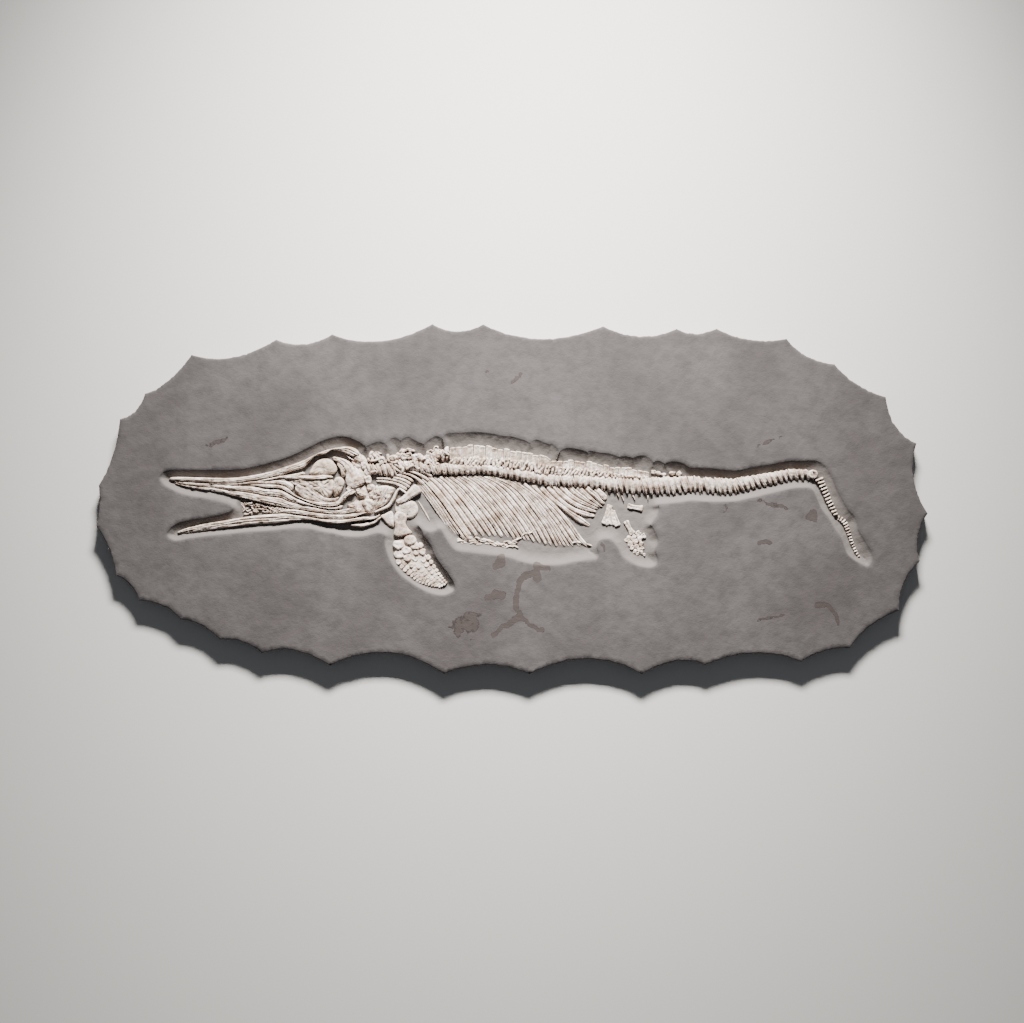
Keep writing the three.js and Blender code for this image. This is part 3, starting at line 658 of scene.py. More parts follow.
def ribs(material):
    """Each rib as two strands side by side: a rod with a groove along it, as wide as the room that
    its neighbours leave. The first few lie lower and smoother, because the next ones overlap them,
    and all sink into the stone towards both ends."""
    lines = rib_lines()
    count = len(lines)
    gaps = np.full((count, RIB_POINTS), np.inf)
    for here, there in [(i, i + 1) for i in range(count - 1)] + [(i + 1, i) for i in range(count - 1)]:
        way = np.hypot(*(lines[here][:, None] - lines[there][None]).transpose(2, 0, 1))
        gaps[here] = np.minimum(gaps[here], way.min(1))
    random = np.random.default_rng(21)
    for i, line in enumerate(lines):
        on_flank, in_front = i < len(RIB_MARKS), i <= 4
        width = np.minimum(gaps[i], 14) * RIB_FILL
        width = np.clip(np.convolve(np.pad(width, 4, "edge"), np.ones(9) / 9, "valid"), 2.2, None)
        width = width * (1 + 0.1 * hills(line[:, 0], line[:, 1], 30, 22 + i))
        tip_share = 0.62 if on_flank else 0.5
        width = width * np.interp(np.arange(RIB_POINTS), [0, 36, RIB_POINTS - 1], [1, 1, tip_share])
        groove_at, depth = random.uniform(-0.12, 0.2), random.uniform(1.2, 2.2)

        def groove(along, side, x, y, at=groove_at, deep=depth, rough=0.2 if in_front else 0.9):
            return (-deep * np.exp(-((side - at - 0.08 * np.sin(along / 17)) / 0.19) ** 2)
                    + rough * hills(x, y, 14, 50, 3))

        low = min(0.5 + 0.16 * i, 1.0)
        shell = rod(line[::4], width[::4], low * RIB_HEIGHT * random.uniform(0.88, 1.08), stations=52,
                    across=17, taper=9, undercut=0.05, fullness=0.58, relief=groove,
                    wear=0.2 if in_front else 0.6, sink=(5.0, 6.3 * low if on_flank else 4.5), seed=60 + i)
        bone(f"rib_bone_{i + 1:02d}", [shell], material, [f"rib_{i + 1:02d}"])


# Rods between the shoulder and the flank, each along its centre line; the last is a thin splinter
NECK_RIB_LINES = [
    [[-343, 46], [-318, 44], [-296, 40], [-278, 33], [-263, 23]],
    [[-343, 52], [-315, 51], [-292, 47], [-272, 39], [-256, 29]],
    [[-306, 56], [-286, 52], [-268, 46], [-253, 37]],
    [[-302, 62], [-281, 59], [-262, 53], [-247, 44]],
    [[-291, 68], [-271, 65], [-252, 59], [-235, 49], [-219, 36]],
    [[-276, 73], [-256, 70], [-238, 64], [-221, 55], [-207, 45]],
    [[-252, 76], [-233, 73], [-215, 66], [-199, 56]],
    [[-233, 50], [-215, 31], [-182, -10], [-150, -57], [-132, -81], [-118, -103]],
    [[-228, 54], [-207, 33], [-172, -9], [-139, -58], [-122, -81], [-106, -104]],
    [[-236, -4], [-226, -20], [-214, -40], [-206, -56]],
]


def neck_ribs(material):
    """Heads of the first ribs, fanning out from under the neck towards the shoulder, two long strands
    in front of the flank, and one thin splinter under the shoulder."""
    shells = [rod(line, np.linspace(4.5, 7.5, len(line)), 8.0 + 0.5 * (k % 3), stations=34, across=13,
                  taper=8, undercut=0.1, relief=along_strands((0.1,), 1.8, 0.2), sink=(5.0, 1.0), wear=0.7,
                  seed=700 + k) for k, line in enumerate(NECK_RIB_LINES[:-1])]
    shells.append(rod(NECK_RIB_LINES[-1], [2, 4, 4, 2], 2.4, stations=24, across=9, seed=710))
    bone("neck_rib_bones", shells, material, [])


def along_back(x):
    """Underside, centrum top, arch top and spine top of the backbone at each x."""
    return [np.interp(x, BACKBONE[:, 0], BACKBONE[:, k]) for k in range(1, 5)]


def centra(line, widths, pitch, height, slant=0.0, waist=(0.08, 0.5), fill=0.995, rim_share=0.2,
           seed=1):
    """A row of vertebral bodies along a line, each a spool lying half out of the stone.

    A station's ring is an arc from one foot over the top to the other. Its radius is full along both
    rims and falls between them by the waist, in a smooth step: by the first value on the upper side
    of the row, going over to the second on the lower side. Slant leans the spools, as a share of the
    way across. The stations lie closer together near the rims.
    """
    random = np.random.default_rng(seed)
    curve = even(np.column_stack([line, widths]), 400)
    way = way_along(curve)
    count = max(round(way[-1] / pitch), 1)
    edges = np.linspace(0, way[-1], count + 1)
    edges[1:-1] += random.uniform(-0.1, 0.1, count - 1) * pitch
    middle_way = (edges[:-1] + edges[1:]) / 2
    middle = on_curve(middle_way, way, curve)
    half = middle[:, 2] / 2
    slope = np.gradient(curve[:, :2], axis=0)
    slope /= np.hypot(*slope.T)[:, None]
    ahead = on_curve(middle_way, way, slope)
    aside = np.stack([-ahead[:, 1], ahead[:, 0]], 1)
    u = np.array([0.0, 0.03, 0.09, 0.15, 0.2, 0.26, 0.34, 0.5, 0.66, 0.74, 0.8, 0.85, 0.91, 0.97, 1.0])
    undercut = 0.5
    angle = np.linspace(-undercut, np.pi + undercut, 25)
    low_side = np.clip((1 - np.cos(angle)) / 2, 0, 1)
    depth = (waist[0] + (waist[1] - waist[0]) * low_side ** 1.3)[None, None]
    depth = depth * random.uniform(0.5, 1.3, (count, 1, 1))
    waisted = np.clip((0.5 - np.abs(u - 0.5) - rim_share) / 0.11, 0, 1)
    pinch = depth * (waisted * waisted * (3 - 2 * waisted))[None, :, None]
    rim = 1 - 0.06 * (np.abs(2 * u - 1) > 0.97)[None, :, None]
    size = (1 - pinch) * rim * (1 + random.uniform(-0.08, 0.05, (count, 1, 1)))
    across = np.cos(angle)[None, None] * half[:, None, None] * size
    rise = ((np.sin(angle) + np.sin(undercut)) / (1 + np.sin(undercut))).clip(0)[None, None] ** 0.62
    tall = height * (1 + random.uniform(-0.14, 0.0, (count, 1, 1))) * (1 - 0.3 * low_side ** 2)
    z = FLOOR - BURIED + (tall + BURIED) * rise * size
    lean = slant + random.uniform(-0.12, 0.12, (count, 1, 1))
    length = (np.diff(edges) * fill)[:, None, None]
    along = length * (u - 0.5)[None, :, None] - lean * across
    x = middle[:, 0, None, None] + along * ahead[:, 0, None, None] + across * aside[:, 0, None, None]
    y = middle[:, 1, None, None] + along * ahead[:, 1, None, None] + across * aside[:, 1, None, None]
    dents = 0.8 * hills(x, y, 4, seed, 3)
    # Painted shade mixed with grime: darker low by the stone and in the waists, and darker on the lower side,
    # away from the key light.
    dark = crevice_grime_and_shade(rise * (1 - 0.25 * low_side), pinch * height * 0.45 - dents * 0.6 - 0.5)
    return np.stack([x, y, z + dents * rise, dark], -1)


def plate(outline, height, rounding=5.0, tilt=(0.0, 0.0), dish=0.0, relief=None, wear=0.35, points=36,
          seed=1):
    """A flat bone of any round outline, as one closed shell of shrinking rings.

    At the share r of the way from its middle to its outline the surface is the root of
    1 - r^rounding of the height up, less the dish times (1 - r^2)^2; the tilt adds to it by x and y.
    """
    edge = even(outline, points, closed=True)
    middle = edge.mean(0)
    share = np.array([1.0, 1.0, 0.985, 0.95, 0.88, 0.76, 0.6, 0.42, 0.24, 0.06])
    dome = np.sqrt(np.maximum(1 - share ** rounding, 0))[:, None]
    xy = middle + (edge - middle) * share[:, None, None]
    x, y = xy[..., 0], xy[..., 1]
    hollow = dish * ((1 - share ** 2) ** 2)[:, None]
    change = tilt[0] * (x - middle[0]) + tilt[1] * (y - middle[1]) + wear * hills(x, y, 6, seed, 3)
    if relief is not None:
        change = change + relief(x, y)
    z = FLOOR + height * dome - hollow + change * dome
    z[0] = FLOOR - BURIED
    # Painted shade mixed with grime: darker low by the stone and in the dish.
    dark = crevice_grime_and_shade(dome + 0 * x, hollow * 0.55 - 0.5 * change - 0.4)
    return np.stack([x, y, z, dark], -1)


def striae(angle, spacing, depth, seed=3):
    """Relief of fine wavy lines that run at an angle, in degrees, with a spacing in millimetres."""
    turn = np.radians(angle)

    def relief(x, y):
        across = -x * np.sin(turn) + y * np.cos(turn) + 1.6 * hills(x, y, 22, seed, 2)
        return depth * np.sin(2 * np.pi * across / spacing)

    return relief


def along_strands(grooves, depth, width=0.12):
    """Relief for a blade: grooves that run along it at the given places across, -1 to 1."""
    def relief(along, side, x, y):
        cut = sum(np.exp(-((side - at - 0.05 * np.sin(along / 31 + 9 * at)) / width) ** 2) for at in grooves)
        return -depth * cut
    return relief


def oval(x, y, across, high, angle=0.0, rough=0.12):
    """Ten points round an oval, turned by an angle in degrees, each moved in or out at random."""
    t = np.arange(10) / 10 * 2 * np.pi
    turn = np.radians(angle)
    shift = 1 + np.random.default_rng(int(abs(7 * x + 13 * y)) + 5).uniform(-rough, rough, 10)
    u, v = across / 2 * np.cos(t) * shift, high / 2 * np.sin(t) * shift
    return np.stack([x + u * np.cos(turn) - v * np.sin(turn), y + u * np.sin(turn) + v * np.cos(turn)], 1)


def backbone(material):
    """The rows of vertebrae that stand for the CAD's plain bars, with arches over the back."""
    spans = {"back_vertebrae_front": (*BACK_FRONT, 14.6, 0.15, (0.08, 0.36)),
             "back_vertebrae_rear": (*BACK_REAR, 14.5, 0.25, (0.07, 0.34)),
             "tail_vertebrae": (*TAIL, 14.3, 0.3, (0.1, 0.4))}
    for seed, (node, (start, end, pitch, slant, waist)) in enumerate(spans.items()):
        x = np.linspace(start, end, 24)
        low, top, _, _ = along_back(x)
        line = np.column_stack([x, (low + top) / 2])
        shells = [centra(line, top - low + 1, pitch, CENTRUM_HEIGHT, slant, waist, seed=70 + seed)]
        if node != "tail_vertebrae":
            random = np.random.default_rng(80 + seed)
            for x_at in np.arange(start + 4, end - 2, pitch * 0.6):
                _, top_at, arch_at, _ = along_back(x_at)
                lean, wide = random.uniform(-3, 9), random.uniform(8, 13)
                line = [[x_at - lean, top_at - 3], [x_at, (top_at + arch_at) / 2],
                        [x_at + lean, arch_at + random.uniform(0, 6)]]
                widths = [wide * random.uniform(0.6, 1), wide * 0.8, wide * random.uniform(0.8, 1.1)]
                shells.append(rod(line, widths, 14.2 * random.uniform(0.7, 1), stations=18, across=15,
                                  taper=4, undercut=0.1, fullness=0.6, wear=2.1, seed=int(x_at) + 400))
        bone(f"{node}_row", shells, material, [node])


# Broken arches over the neck, then round vertebrae seen end on: x, y, across, high, angle
NECK_BITS = [
    (-352, 97, 16, 14, 10), (-338, 104, 18, 22, 30), (-326, 96, 14, 18, -20), (-311, 93, 15, 12, 10),
    (-296, 101, 15, 18, 20), (-283, 108, 14, 16, -30), (-270, 107, 17, 14, 15), (-256, 108, 13, 20, 10),
    (-243, 103, 14, 15, 40), (-229, 103, 14, 17, -10), (-215, 100, 13, 16, 20), (-201, 106, 15, 20, 10),
    (-187, 112, 14, 26, 5), (-173, 112, 14, 28, -4), (-162, 114, 12, 28, 0), (-190, 127, 13, 9, 10),
    (-271, 121, 20, 9, 10), (-255, 123, 16, 8, -15), (-339, 114, 18, 7, 0), (-205, 119, 16, 8, 20),
]
NECK_DISCS = [(-209, 79, 25, 28, -10), (-187, 76, 19, 30, 5), (-168, 77, 16, 28, -5),
              (-248, 88, 18, 17, 0), (-243, 102, 15, 13, 10)]


def neck(material):
    """Neck vertebrae: a crowded row of spools with broken arches tumbled over them."""
    line = [[-362, 76], [-340, 75], [-318, 73], [-296, 73], [-280, 82], [-262, 84], [-240, 82],
            [-215, 76], [-190, 75], [-157, 75]]
    widths = [26, 30, 32, 33, 27, 25, 26, 27, 27, 28]
    shells = [centra(line, widths, 13.5, CENTRUM_HEIGHT, 0.35, (0.16, 0.3), 0.99, 0.24, seed=95)]
    for k, (x, y, across, high, angle) in enumerate(NECK_BITS):
        shells.append(plate(oval(x, y, across * 1.25, high * 1.15, angle, 0.3), 10.5 + (k * 7 % 5), 5,
                            wear=2.2, dish=(k * 5 % 4) * 1.4, tilt=(0.0, 0.1), seed=120 + k))
    for k, (x, y, across, high, angle) in enumerate(NECK_DISCS):
        shells.append(plate(oval(x, y, across, high, angle, 0.14), 13.8, 8, wear=1.3, dish=7.0 + k % 3,
                            tilt=(0.0, 0.08), seed=160 + k))
    random = np.random.default_rng(17)
    for k in range(44):
        x = random.uniform(-352, -160)
        y = np.interp(x, [-356, -300, -270, -210, -160], [98, 93, 108, 98, 108]) + random.uniform(-9, 14)
        y -= 25 if k % 2 and x < -215 else 0
        line = splinter([x, y], random.uniform(0.1, 2.6), random.uniform(7, 13), random.uniform(-4, 4, 2))
        shells.append(rod(line, [6, random.uniform(7, 11), 8], random.uniform(10.5, 14.5), stations=14,
                          across=13, taper=4, undercut=0.1, wear=1.4, seed=180 + k))
    bone("neck_vertebrae_row", shells, material, ["neck_vertebrae"])


def bars(line, lengths, pitch, width, height, seed):
    """A row of short bars that lie square across a line, at even steps along it."""
    curve = even(np.column_stack([line, lengths]), 200)
    way = way_along(curve)
    random = np.random.default_rng(seed)
    shells = []
    for k, at in enumerate(np.arange(pitch / 2, way[-1], pitch)):
        x, y, long = on_curve(at, way, curve)
        ahead = on_curve(at + 2, way, curve) - on_curve(at - 2, way, curve)
        turn = np.arctan2(ahead[1], ahead[0]) + np.pi / 2 + random.uniform(-0.2, 0.2)
        bar = splinter([x, y], turn, long / 2 * random.uniform(0.9, 1.08))
        shells.append(rod(bar, [width * 1.1, width * 0.85, width * 1.1], height * random.uniform(0.7, 1.05),
                          stations=16, across=13, taper=3, undercut=0.2, fullness=0.5, wear=0.8,
                          seed=seed + k))
    return shells


def tail_end(material):
    """The row bends down sharply behind one round vertebra seen end on, and runs out in ever smaller
    bars to the tip of the fluke."""
    bend = [[768, 53], [774, 43], [781, 28], [788, 12], [795, -6], [803, -23], [812, -40]]
    shells = [*bars(bend, [20, 20, 19, 18, 17, 15, 13], 8.8, 5.4, 11.0, 960),
              plate(oval(755, 62, 25, 23, 0, 0.06), 13.5, 7, dish=5, wear=0.9, seed=98)]
    bone("tail_bend_row", shells, material, ["tail_bend_vertebrae"])
    fluke = [[816, -46], [828, -52], [836, -62], [842, -77], [847, -92], [852, -108], [859, -125],
             [867, -140], [874, -148]]
    shells = bars(fluke, [12, 14, 14, 12, 11, 10, 9, 8, 5], 7.4, 4.8, 8.0, 970)
    bone("tail_fluke_row", shells, material, ["tail_fluke_vertebrae"])


def spines(material):
    """Spine plates: flat blades standing side by side over the arches. Each has a rim raised by
    about 2 mm along its sides and its upper end, which dies away as a bell curve."""
    for node, (start, end) in {"neural_spines_front": BACK_FRONT, "neural_spines_rear": BACK_REAR}.items():
        edges = np.linspace(start, end, round((end - start) / SPINE_PITCH) + 1)
        random = np.random.default_rng(90)
        shells = []
        for left, right in zip(edges[:-1], edges[1:]):
            ends = np.array([left + 0.1, right - 0.1])
            _, _, arch, tip = along_back(ends)
            lean = random.uniform(-1.5, 2.5)
            bottom = np.column_stack([ends, arch - 3])
            top = np.column_stack([ends + lean, tip - random.uniform(-1.0, 3.5)])
            long = float(np.mean(np.hypot(*(top - bottom).T)))

            def rim(along, side, x, y, long=long):
                return (2.2 * np.exp(-((1 - np.abs(side)) / 0.2) ** 2) - 1.15
                        + 2.4 * np.exp(-((long - along) / 4.5) ** 2))

            shells.append(blade([bottom[0], top[0]], [bottom[1], top[1]],
                                SPINE_HEIGHT * random.uniform(0.85, 1.05), stations=18, across=19, taper=2.5,
                                undercut=0.05, fullness=0.22, relief=rim, wear=0.45, fibre=0.2,
                                seed=int(left) + 500))
        bone(f"{node}_row", shells, material, [node])


# Long bones of the skull: upper edge, lower edge, height, places of the grooves and their depth
SKULL_BONES = {
    "nasal_roof": (
        [[-862, 50], [-850, 55], [-800, 54.5], [-750, 53], [-700, 53], [-650, 59], [-600, 70], [-570, 80],
         [-540, 90], [-520, 98], [-500, 108], [-480, 117], [-460, 124], [-440, 128], [-420, 131],
         [-402, 130], [-388, 123], [-379, 112]],
        [[-862, 49], [-850, 47], [-800, 44], [-750, 41.5], [-700, 40], [-650, 47], [-600, 56], [-572, 62],
         [-548, 71], [-525, 77], [-512, 88], [-494, 107], [-470, 112], [-455, 122.5], [-440, 122.5],
         [-422, 117], [-404, 108], [-388, 104]], 13.5, (0.25, -0.35), 1.4),
    "nasal_lower": (
        [[-640, 45.5], [-610, 52], [-585, 57], [-560, 60.5], [-540, 64], [-524, 68], [-516, 64]],
        [[-640, 44], [-610, 47], [-585, 51.5], [-560, 54], [-540, 58], [-524, 61], [-517, 60]], 10.5, (), 0),
    "lachrymal_upper": (
        [[-760, 38.5], [-700, 38.5], [-650, 44], [-610, 46], [-580, 47], [-562, 44], [-550, 37], [-546, 30]],
        [[-760, 37.8], [-700, 36], [-650, 38], [-610, 38.5], [-585, 38], [-567, 32], [-556, 24], [-550, 18]],
        11.5, (0.0,), 1.2),
    "jugal": (
        [[-700, 35.5], [-650, 36.5], [-612, 36.5], [-580, 34], [-562, 27], [-548, 14], [-532, 4], [-513, -3],
         [-492, -7], [-470, -9], [-452, -9], [-438, -5], [-430, 4], [-421, 14], [-409, 22], [-397, 26]],
        [[-700, 34.5], [-650, 33], [-617, 29], [-582, 26.5], [-563, 18], [-543, 6.5], [-522, -2.5],
         [-501, -11], [-480, -16], [-460, -18.5], [-441, -17], [-428, -10], [-419, 0], [-409, 9],
         [-401, 17], [-394, 21]], 12.5, (-0.2,), 1.4),
    "maxilla_upper": (
        [[-850, 45], [-800, 41], [-750, 38], [-700, 34], [-650, 31], [-617, 25.5], [-582, 23], [-564, 14.5],
         [-544, 3], [-523, -6], [-502, -14], [-480, -19.5], [-460, -22], [-440, -20.5], [-424, -14]],
        [[-850, 42], [-800, 33.5], [-750, 29], [-700, 23], [-650, 16], [-617, 9], [-582, 5], [-562, -3],
         [-541, -9.5], [-521, -14], [-501, -17.5], [-480, -21.5], [-460, -25], [-440, -25.5], [-424, -22]],
        12.0, (0.1, -0.45), 1.5),
    "maxilla_lower": (
        [[-848, 41], [-800, 32], [-750, 27.5], [-700, 21], [-650, 14], [-617, 7], [-582, 3], [-562, -5.5],
         [-541, -12], [-521, -17], [-501, -20.5], [-480, -24.5], [-460, -28], [-440, -28.5], [-420, -26],
         [-402, -20], [-388, -14]],
        [[-848, 39], [-800, 27], [-750, 19.5], [-700, 8.5], [-650, -3], [-617, -11], [-590, -17],
         [-565, -21], [-541, -24], [-521, -27], [-501, -30.5], [-480, -33.5], [-460, -35.5], [-440, -36.5],
         [-420, -36], [-402, -33], [-388, -30]], 11.5, (0.5, 0.0, -0.5), 1.8),
    "eye_bar": (
        [[-588, 58], [-560, 58.5], [-530, 60], [-500, 58.5], [-470, 60], [-448, 58]],
        [[-588, 53], [-560, 51], [-530, 48.5], [-500, 47.5], [-470, 50], [-448, 52]], 13.2, (), 0),
    "eye_floor_front": (
        [[-540, 40], [-520, 41], [-503, 40], [-492, 26], [-478, 10], [-462, 2], [-444, 2], [-432, 8]],
        [[-546, 30], [-540, 16], [-522, 4], [-505, -3], [-487, -7], [-468, -8.5], [-450, -8], [-437, -4]],
        10.0, (0.35, -0.1, -0.5), 1.6),
    "post_orbital": (
        [[-452, 107], [-435, 104], [-418, 99], [-405, 92], [-394, 82], [-383, 72], [-372, 62], [-366, 50]],
        [[-448, 97], [-432, 90], [-421, 78], [-416, 62], [-417, 46], [-413, 33], [-402, 27], [-384, 27]],
        12.5, (0.45, -0.2), 1.2),
    "temple_splinter": (
        [[-416, 111], [-404, 104], [-394, 98]], [[-414, 106], [-405, 100], [-396, 94]], 9.0, (), 0),
}
# Broken blocks behind the eye: x, y, across, high, angle, height, dish
SKULL_BLOBS = [
    (-382, 46, 28, 30, 20, 13.0, 0), (-361, 48, 20, 24, 10, 12.0, 1), (-386, 100, 14, 22, 60, 10.5, 0),
    (-397, 88, 8, 16, 30, 9.0, 0), (-372, 84, 14, 26, 10, 11.0, 1), (-364, 68, 14, 18, -10, 10.5, 1),
    (-409, 26, 13, 12, 0, 10.0, 0), (-386, 22, 12, 9, 20, 9.5, 0), (-401, 15, 18, 7, 20, 11.0, 0),
    (-378, 12, 25, 8, -16, 11.5, 0), (-357, 30, 14, 20, 20, 10.5, 1), (-351, 12, 15, 16, 0, 10.0, 1),
    (-421, 4, 11, 18, -30, 10.5, 0), (-400, -16, 27, 15, 10, 11.0, 0), (-359, -17, 34, 32, -12, 12.5, 2),
    (-384, -27, 12, 11, 0, 9.5, 0), (-345, 4, 11, 10, 0, 9.0, 0), (-341, 22, 15, 24, -15, 10.0, 1),
]
JAW_BONES = {
    "dentary": (
        [[-842, -84], [-830, -78], [-810, -71], [-770, -62], [-720, -54], [-690, -48.5], [-650, -42.5],
         [-600, -38], [-562, -37], [-530, -42], [-500, -46], [-478, -51]],
        [[-841, -86], [-830, -86], [-810, -84], [-750, -76], [-700, -69], [-650, -64], [-600, -61],
         [-570, -57], [-550, -54.5], [-520, -52], [-500, -53], [-480, -57]], 11.5, (0.3, -0.25), 2.2),
    "surangular": (
        [[-570, -25], [-541, -27], [-521, -30], [-501, -33.5], [-480, -36.5], [-460, -38.5], [-440, -39.5],
         [-415, -39], [-392, -36], [-372, -34], [-356, -31]],
        [[-572, -34], [-541, -37], [-521, -40], [-501, -43.5], [-480, -47], [-460, -48.5], [-440, -49],
         [-420, -48.5], [-400, -46], [-386, -42], [-384, -38]], 13.0, (0.3, -0.3), 1.8),
    "angular": (
        [[-505, -46], [-480, -50], [-460, -51.5], [-440, -52], [-418, -51.5], [-398, -49], [-376, -45],
         [-352, -44.5], [-338, -42], [-330, -36]],
        [[-507, -50.5], [-480, -56], [-460, -60], [-440, -61.5], [-418, -60], [-398, -56.5], [-376, -53.5],
         [-352, -51], [-340, -48], [-331, -43]], 14.5, (0.0,), 1.4),
    "rear_bar": (
        [[-406, -64], [-390, -63], [-372, -61], [-352, -56], [-338, -49], [-329, -43]],
        [[-406, -67], [-390, -70], [-372, -70], [-352, -65], [-338, -57], [-327, -47]], 10.5, (), 0),
}
SHOULDER_PLATE = [[-343, -22], [-348, 0], [-345, 20], [-335, 31], [-318, 34], [-300, 30], [-294, 25],
                  [-302, 8], [-313, -8], [-328, -19]]
# Rough bone before the eye and under the broken blocks: outline and height
CHEEK_BEDS = [
    ([[-592, 50], [-572, 53], [-545, 52], [-518, 51], [-506, 45], [-510, 31], [-524, 25], [-537, 31],
      [-556, 41], [-576, 46]], 9.0),
    ([[-412, 28], [-402, 26], [-384, 30], [-366, 38], [-350, 38], [-338, 26], [-332, 6], [-334, -18],
      [-348, -34], [-372, -36], [-396, -30], [-400, -14], [-390, 4], [-396, 16]], 4.0),
    ([[-402, 110], [-386, 118], [-368, 104], [-358, 84], [-352, 62], [-360, 42], [-382, 40], [-394, 60],
      [-396, 84]], 6.0),
]


def scored(lines, depth, width=1.8):
    """Relief of cracks: each broken line is cut to the depth, fading out at the width from it."""
    def relief(x, y):
        return -depth * sum(near_line(x, y, line, width) for line in lines)
    return relief


def long_bones(table, seed):
    """The shells of a table of long bones: upper edge, lower edge, height, the grooves' places across
    and their depth. The longest ones sink towards the tip of the snout."""
    shells = []
    for k, (upper, lower, height, grooves, depth) in enumerate(table.values()):
        relief = along_strands(grooves, depth) if grooves else None
        stations = max(24, len(upper) * 7)
        sink = (5.5, 0.0) if upper[-1][0] - upper[0][0] > 250 else (0.0, 0.0)
        shells.append(blade(upper, lower, height, stations=stations, across=25, taper=9, undercut=0.2,
                            fullness=0.5, relief=relief, sink=sink, wear=0.9, fibre=1.3, seed=seed + k))
    return shells


def skull(material):
    """Skull: long overlapping bones of the snout, roof and cheek, and broken blocks behind."""
    shells = long_bones(SKULL_BONES, 200)
    for k, (x, y, across, high, angle, height, dish) in enumerate(SKULL_BLOBS):
        shells.append(plate(oval(x, y, across, high, angle, 0.2), height, 6, dish=1.2 * dish, wear=1.9,
                            tilt=(0.0, 0.06), points=48, seed=240 + k))
    for k, (outline, height) in enumerate(CHEEK_BEDS):
        shells.append(plate(outline, height, 7, wear=2.6, points=72, seed=270 + k,
                            relief=lambda x, y: 2.0 * hills(x, y, 12, 271, 2)))
    bone("skull_bones", shells, material, ["skull"])


def lower_jaw(material):
    """Lower jaw: the long dentary, two bones behind it and a bar along its lower rear edge."""
    bone("lower_jaw_bones", long_bones(JAW_BONES, 300), material, ["lower_jaw"])


def jaw_fragments(material):
    """Teeth and splinters lying criss-cross between the jaws, thinning out towards the front."""
    random = np.random.default_rng(33)
    shells = []
    for k in range(120):
        x = -562 - 124 * random.uniform(0, 1) ** 1.35
        top, bottom = np.interp(x, [-688, -562], [-1, -24]), np.interp(x, [-684, -668, -562], [-12, -40, -32])
        y = random.uniform(bottom + 1, top - 1)
        turn = random.uniform(-1.0, 1.0) + (np.pi if k % 2 else 0)
        line = splinter([x, y], turn, random.uniform(3, 7.5), random.uniform(-0.8, 0.8, 2))
        height = random.uniform(4, 9) * np.clip((x + 692) / 40, 0.3, 1)
        shells.append(rod(line, [3.4, 3.0, 1.6], height, stations=9, across=9, taper=2.5, undercut=0.05,
                          wear=0.5, seed=350 + k))
    bone("jaw_splinter_bones", shells, material, ["jaw_fragments"])


# Plates of the eye: outline, height and angle of the fine lines; then the cracks across them
EYE_PLATES = [
    ([[-508, 62], [-504, 76], [-495, 90], [-482, 99], [-468, 102], [-455, 99], [-444, 91], [-438, 78],
      [-441, 66], [-456, 61], [-480, 60]], 12.0, 25),
    ([[-437, 95], [-427, 90], [-419, 79], [-416, 66], [-418, 56], [-427, 56], [-429, 68], [-433, 79],
      [-439, 86]], 10.5, 60),
    ([[-442, 54], [-428, 55], [-420, 42], [-424, 27], [-434, 12], [-446, 6], [-450, 22], [-448, 40]],
     11.5, -20),
    ([[-513, 46], [-492, 48], [-470, 49], [-452, 50], [-445, 38], [-447, 20], [-456, 6], [-468, 3],
      [-480, 10], [-494, 18], [-508, 30]], 10.8, 40),
]
EYE_CRACKS = [
    [[-497, 42], [-494, 34], [-499, 27]], [[-488, 38], [-484, 31]], [[-480, 41], [-474, 35], [-466, 37]],
    [[-455, 52], [-457, 36], [-455, 20]], [[-472, 30], [-462, 26], [-457, 18]],
    [[-486, 24], [-476, 19], [-470, 10]], [[-464, 16], [-459, 7]], [[-438, 40], [-430, 30]],
    [[-446, 28], [-438, 22], [-433, 14]], [[-505, 36], [-496, 30], [-488, 30]],
    [[-467, 101], [-462, 92], [-452, 86]], [[-424, 74], [-418, 64]],
]


def eye(material):
    """Sclerotic ring: a broad smooth plate over the eye, pressed flat, and the cracked plates of the
    ring round and under it. Its bone material is a copy painted darker, as shade."""
    shells = []
    cracks = scored(EYE_CRACKS, 3.0, 2.2)
    for k, (outline, height, angle) in enumerate(EYE_PLATES):
        lines = striae(angle, 6, 0.4, 400 + k)
        crush = 0.7 if k < 2 else 2.4
        shells.append(plate(outline, height, 7, tilt=(0.0, 0.03), wear=0.9, points=72, seed=400 + k,
                            relief=lambda x, y: lines(x, y) + cracks(x, y) + crush * hills(x, y, 13, 410, 3)))
    bone("sclerotic_ring", shells, material, ["eye_ring"])


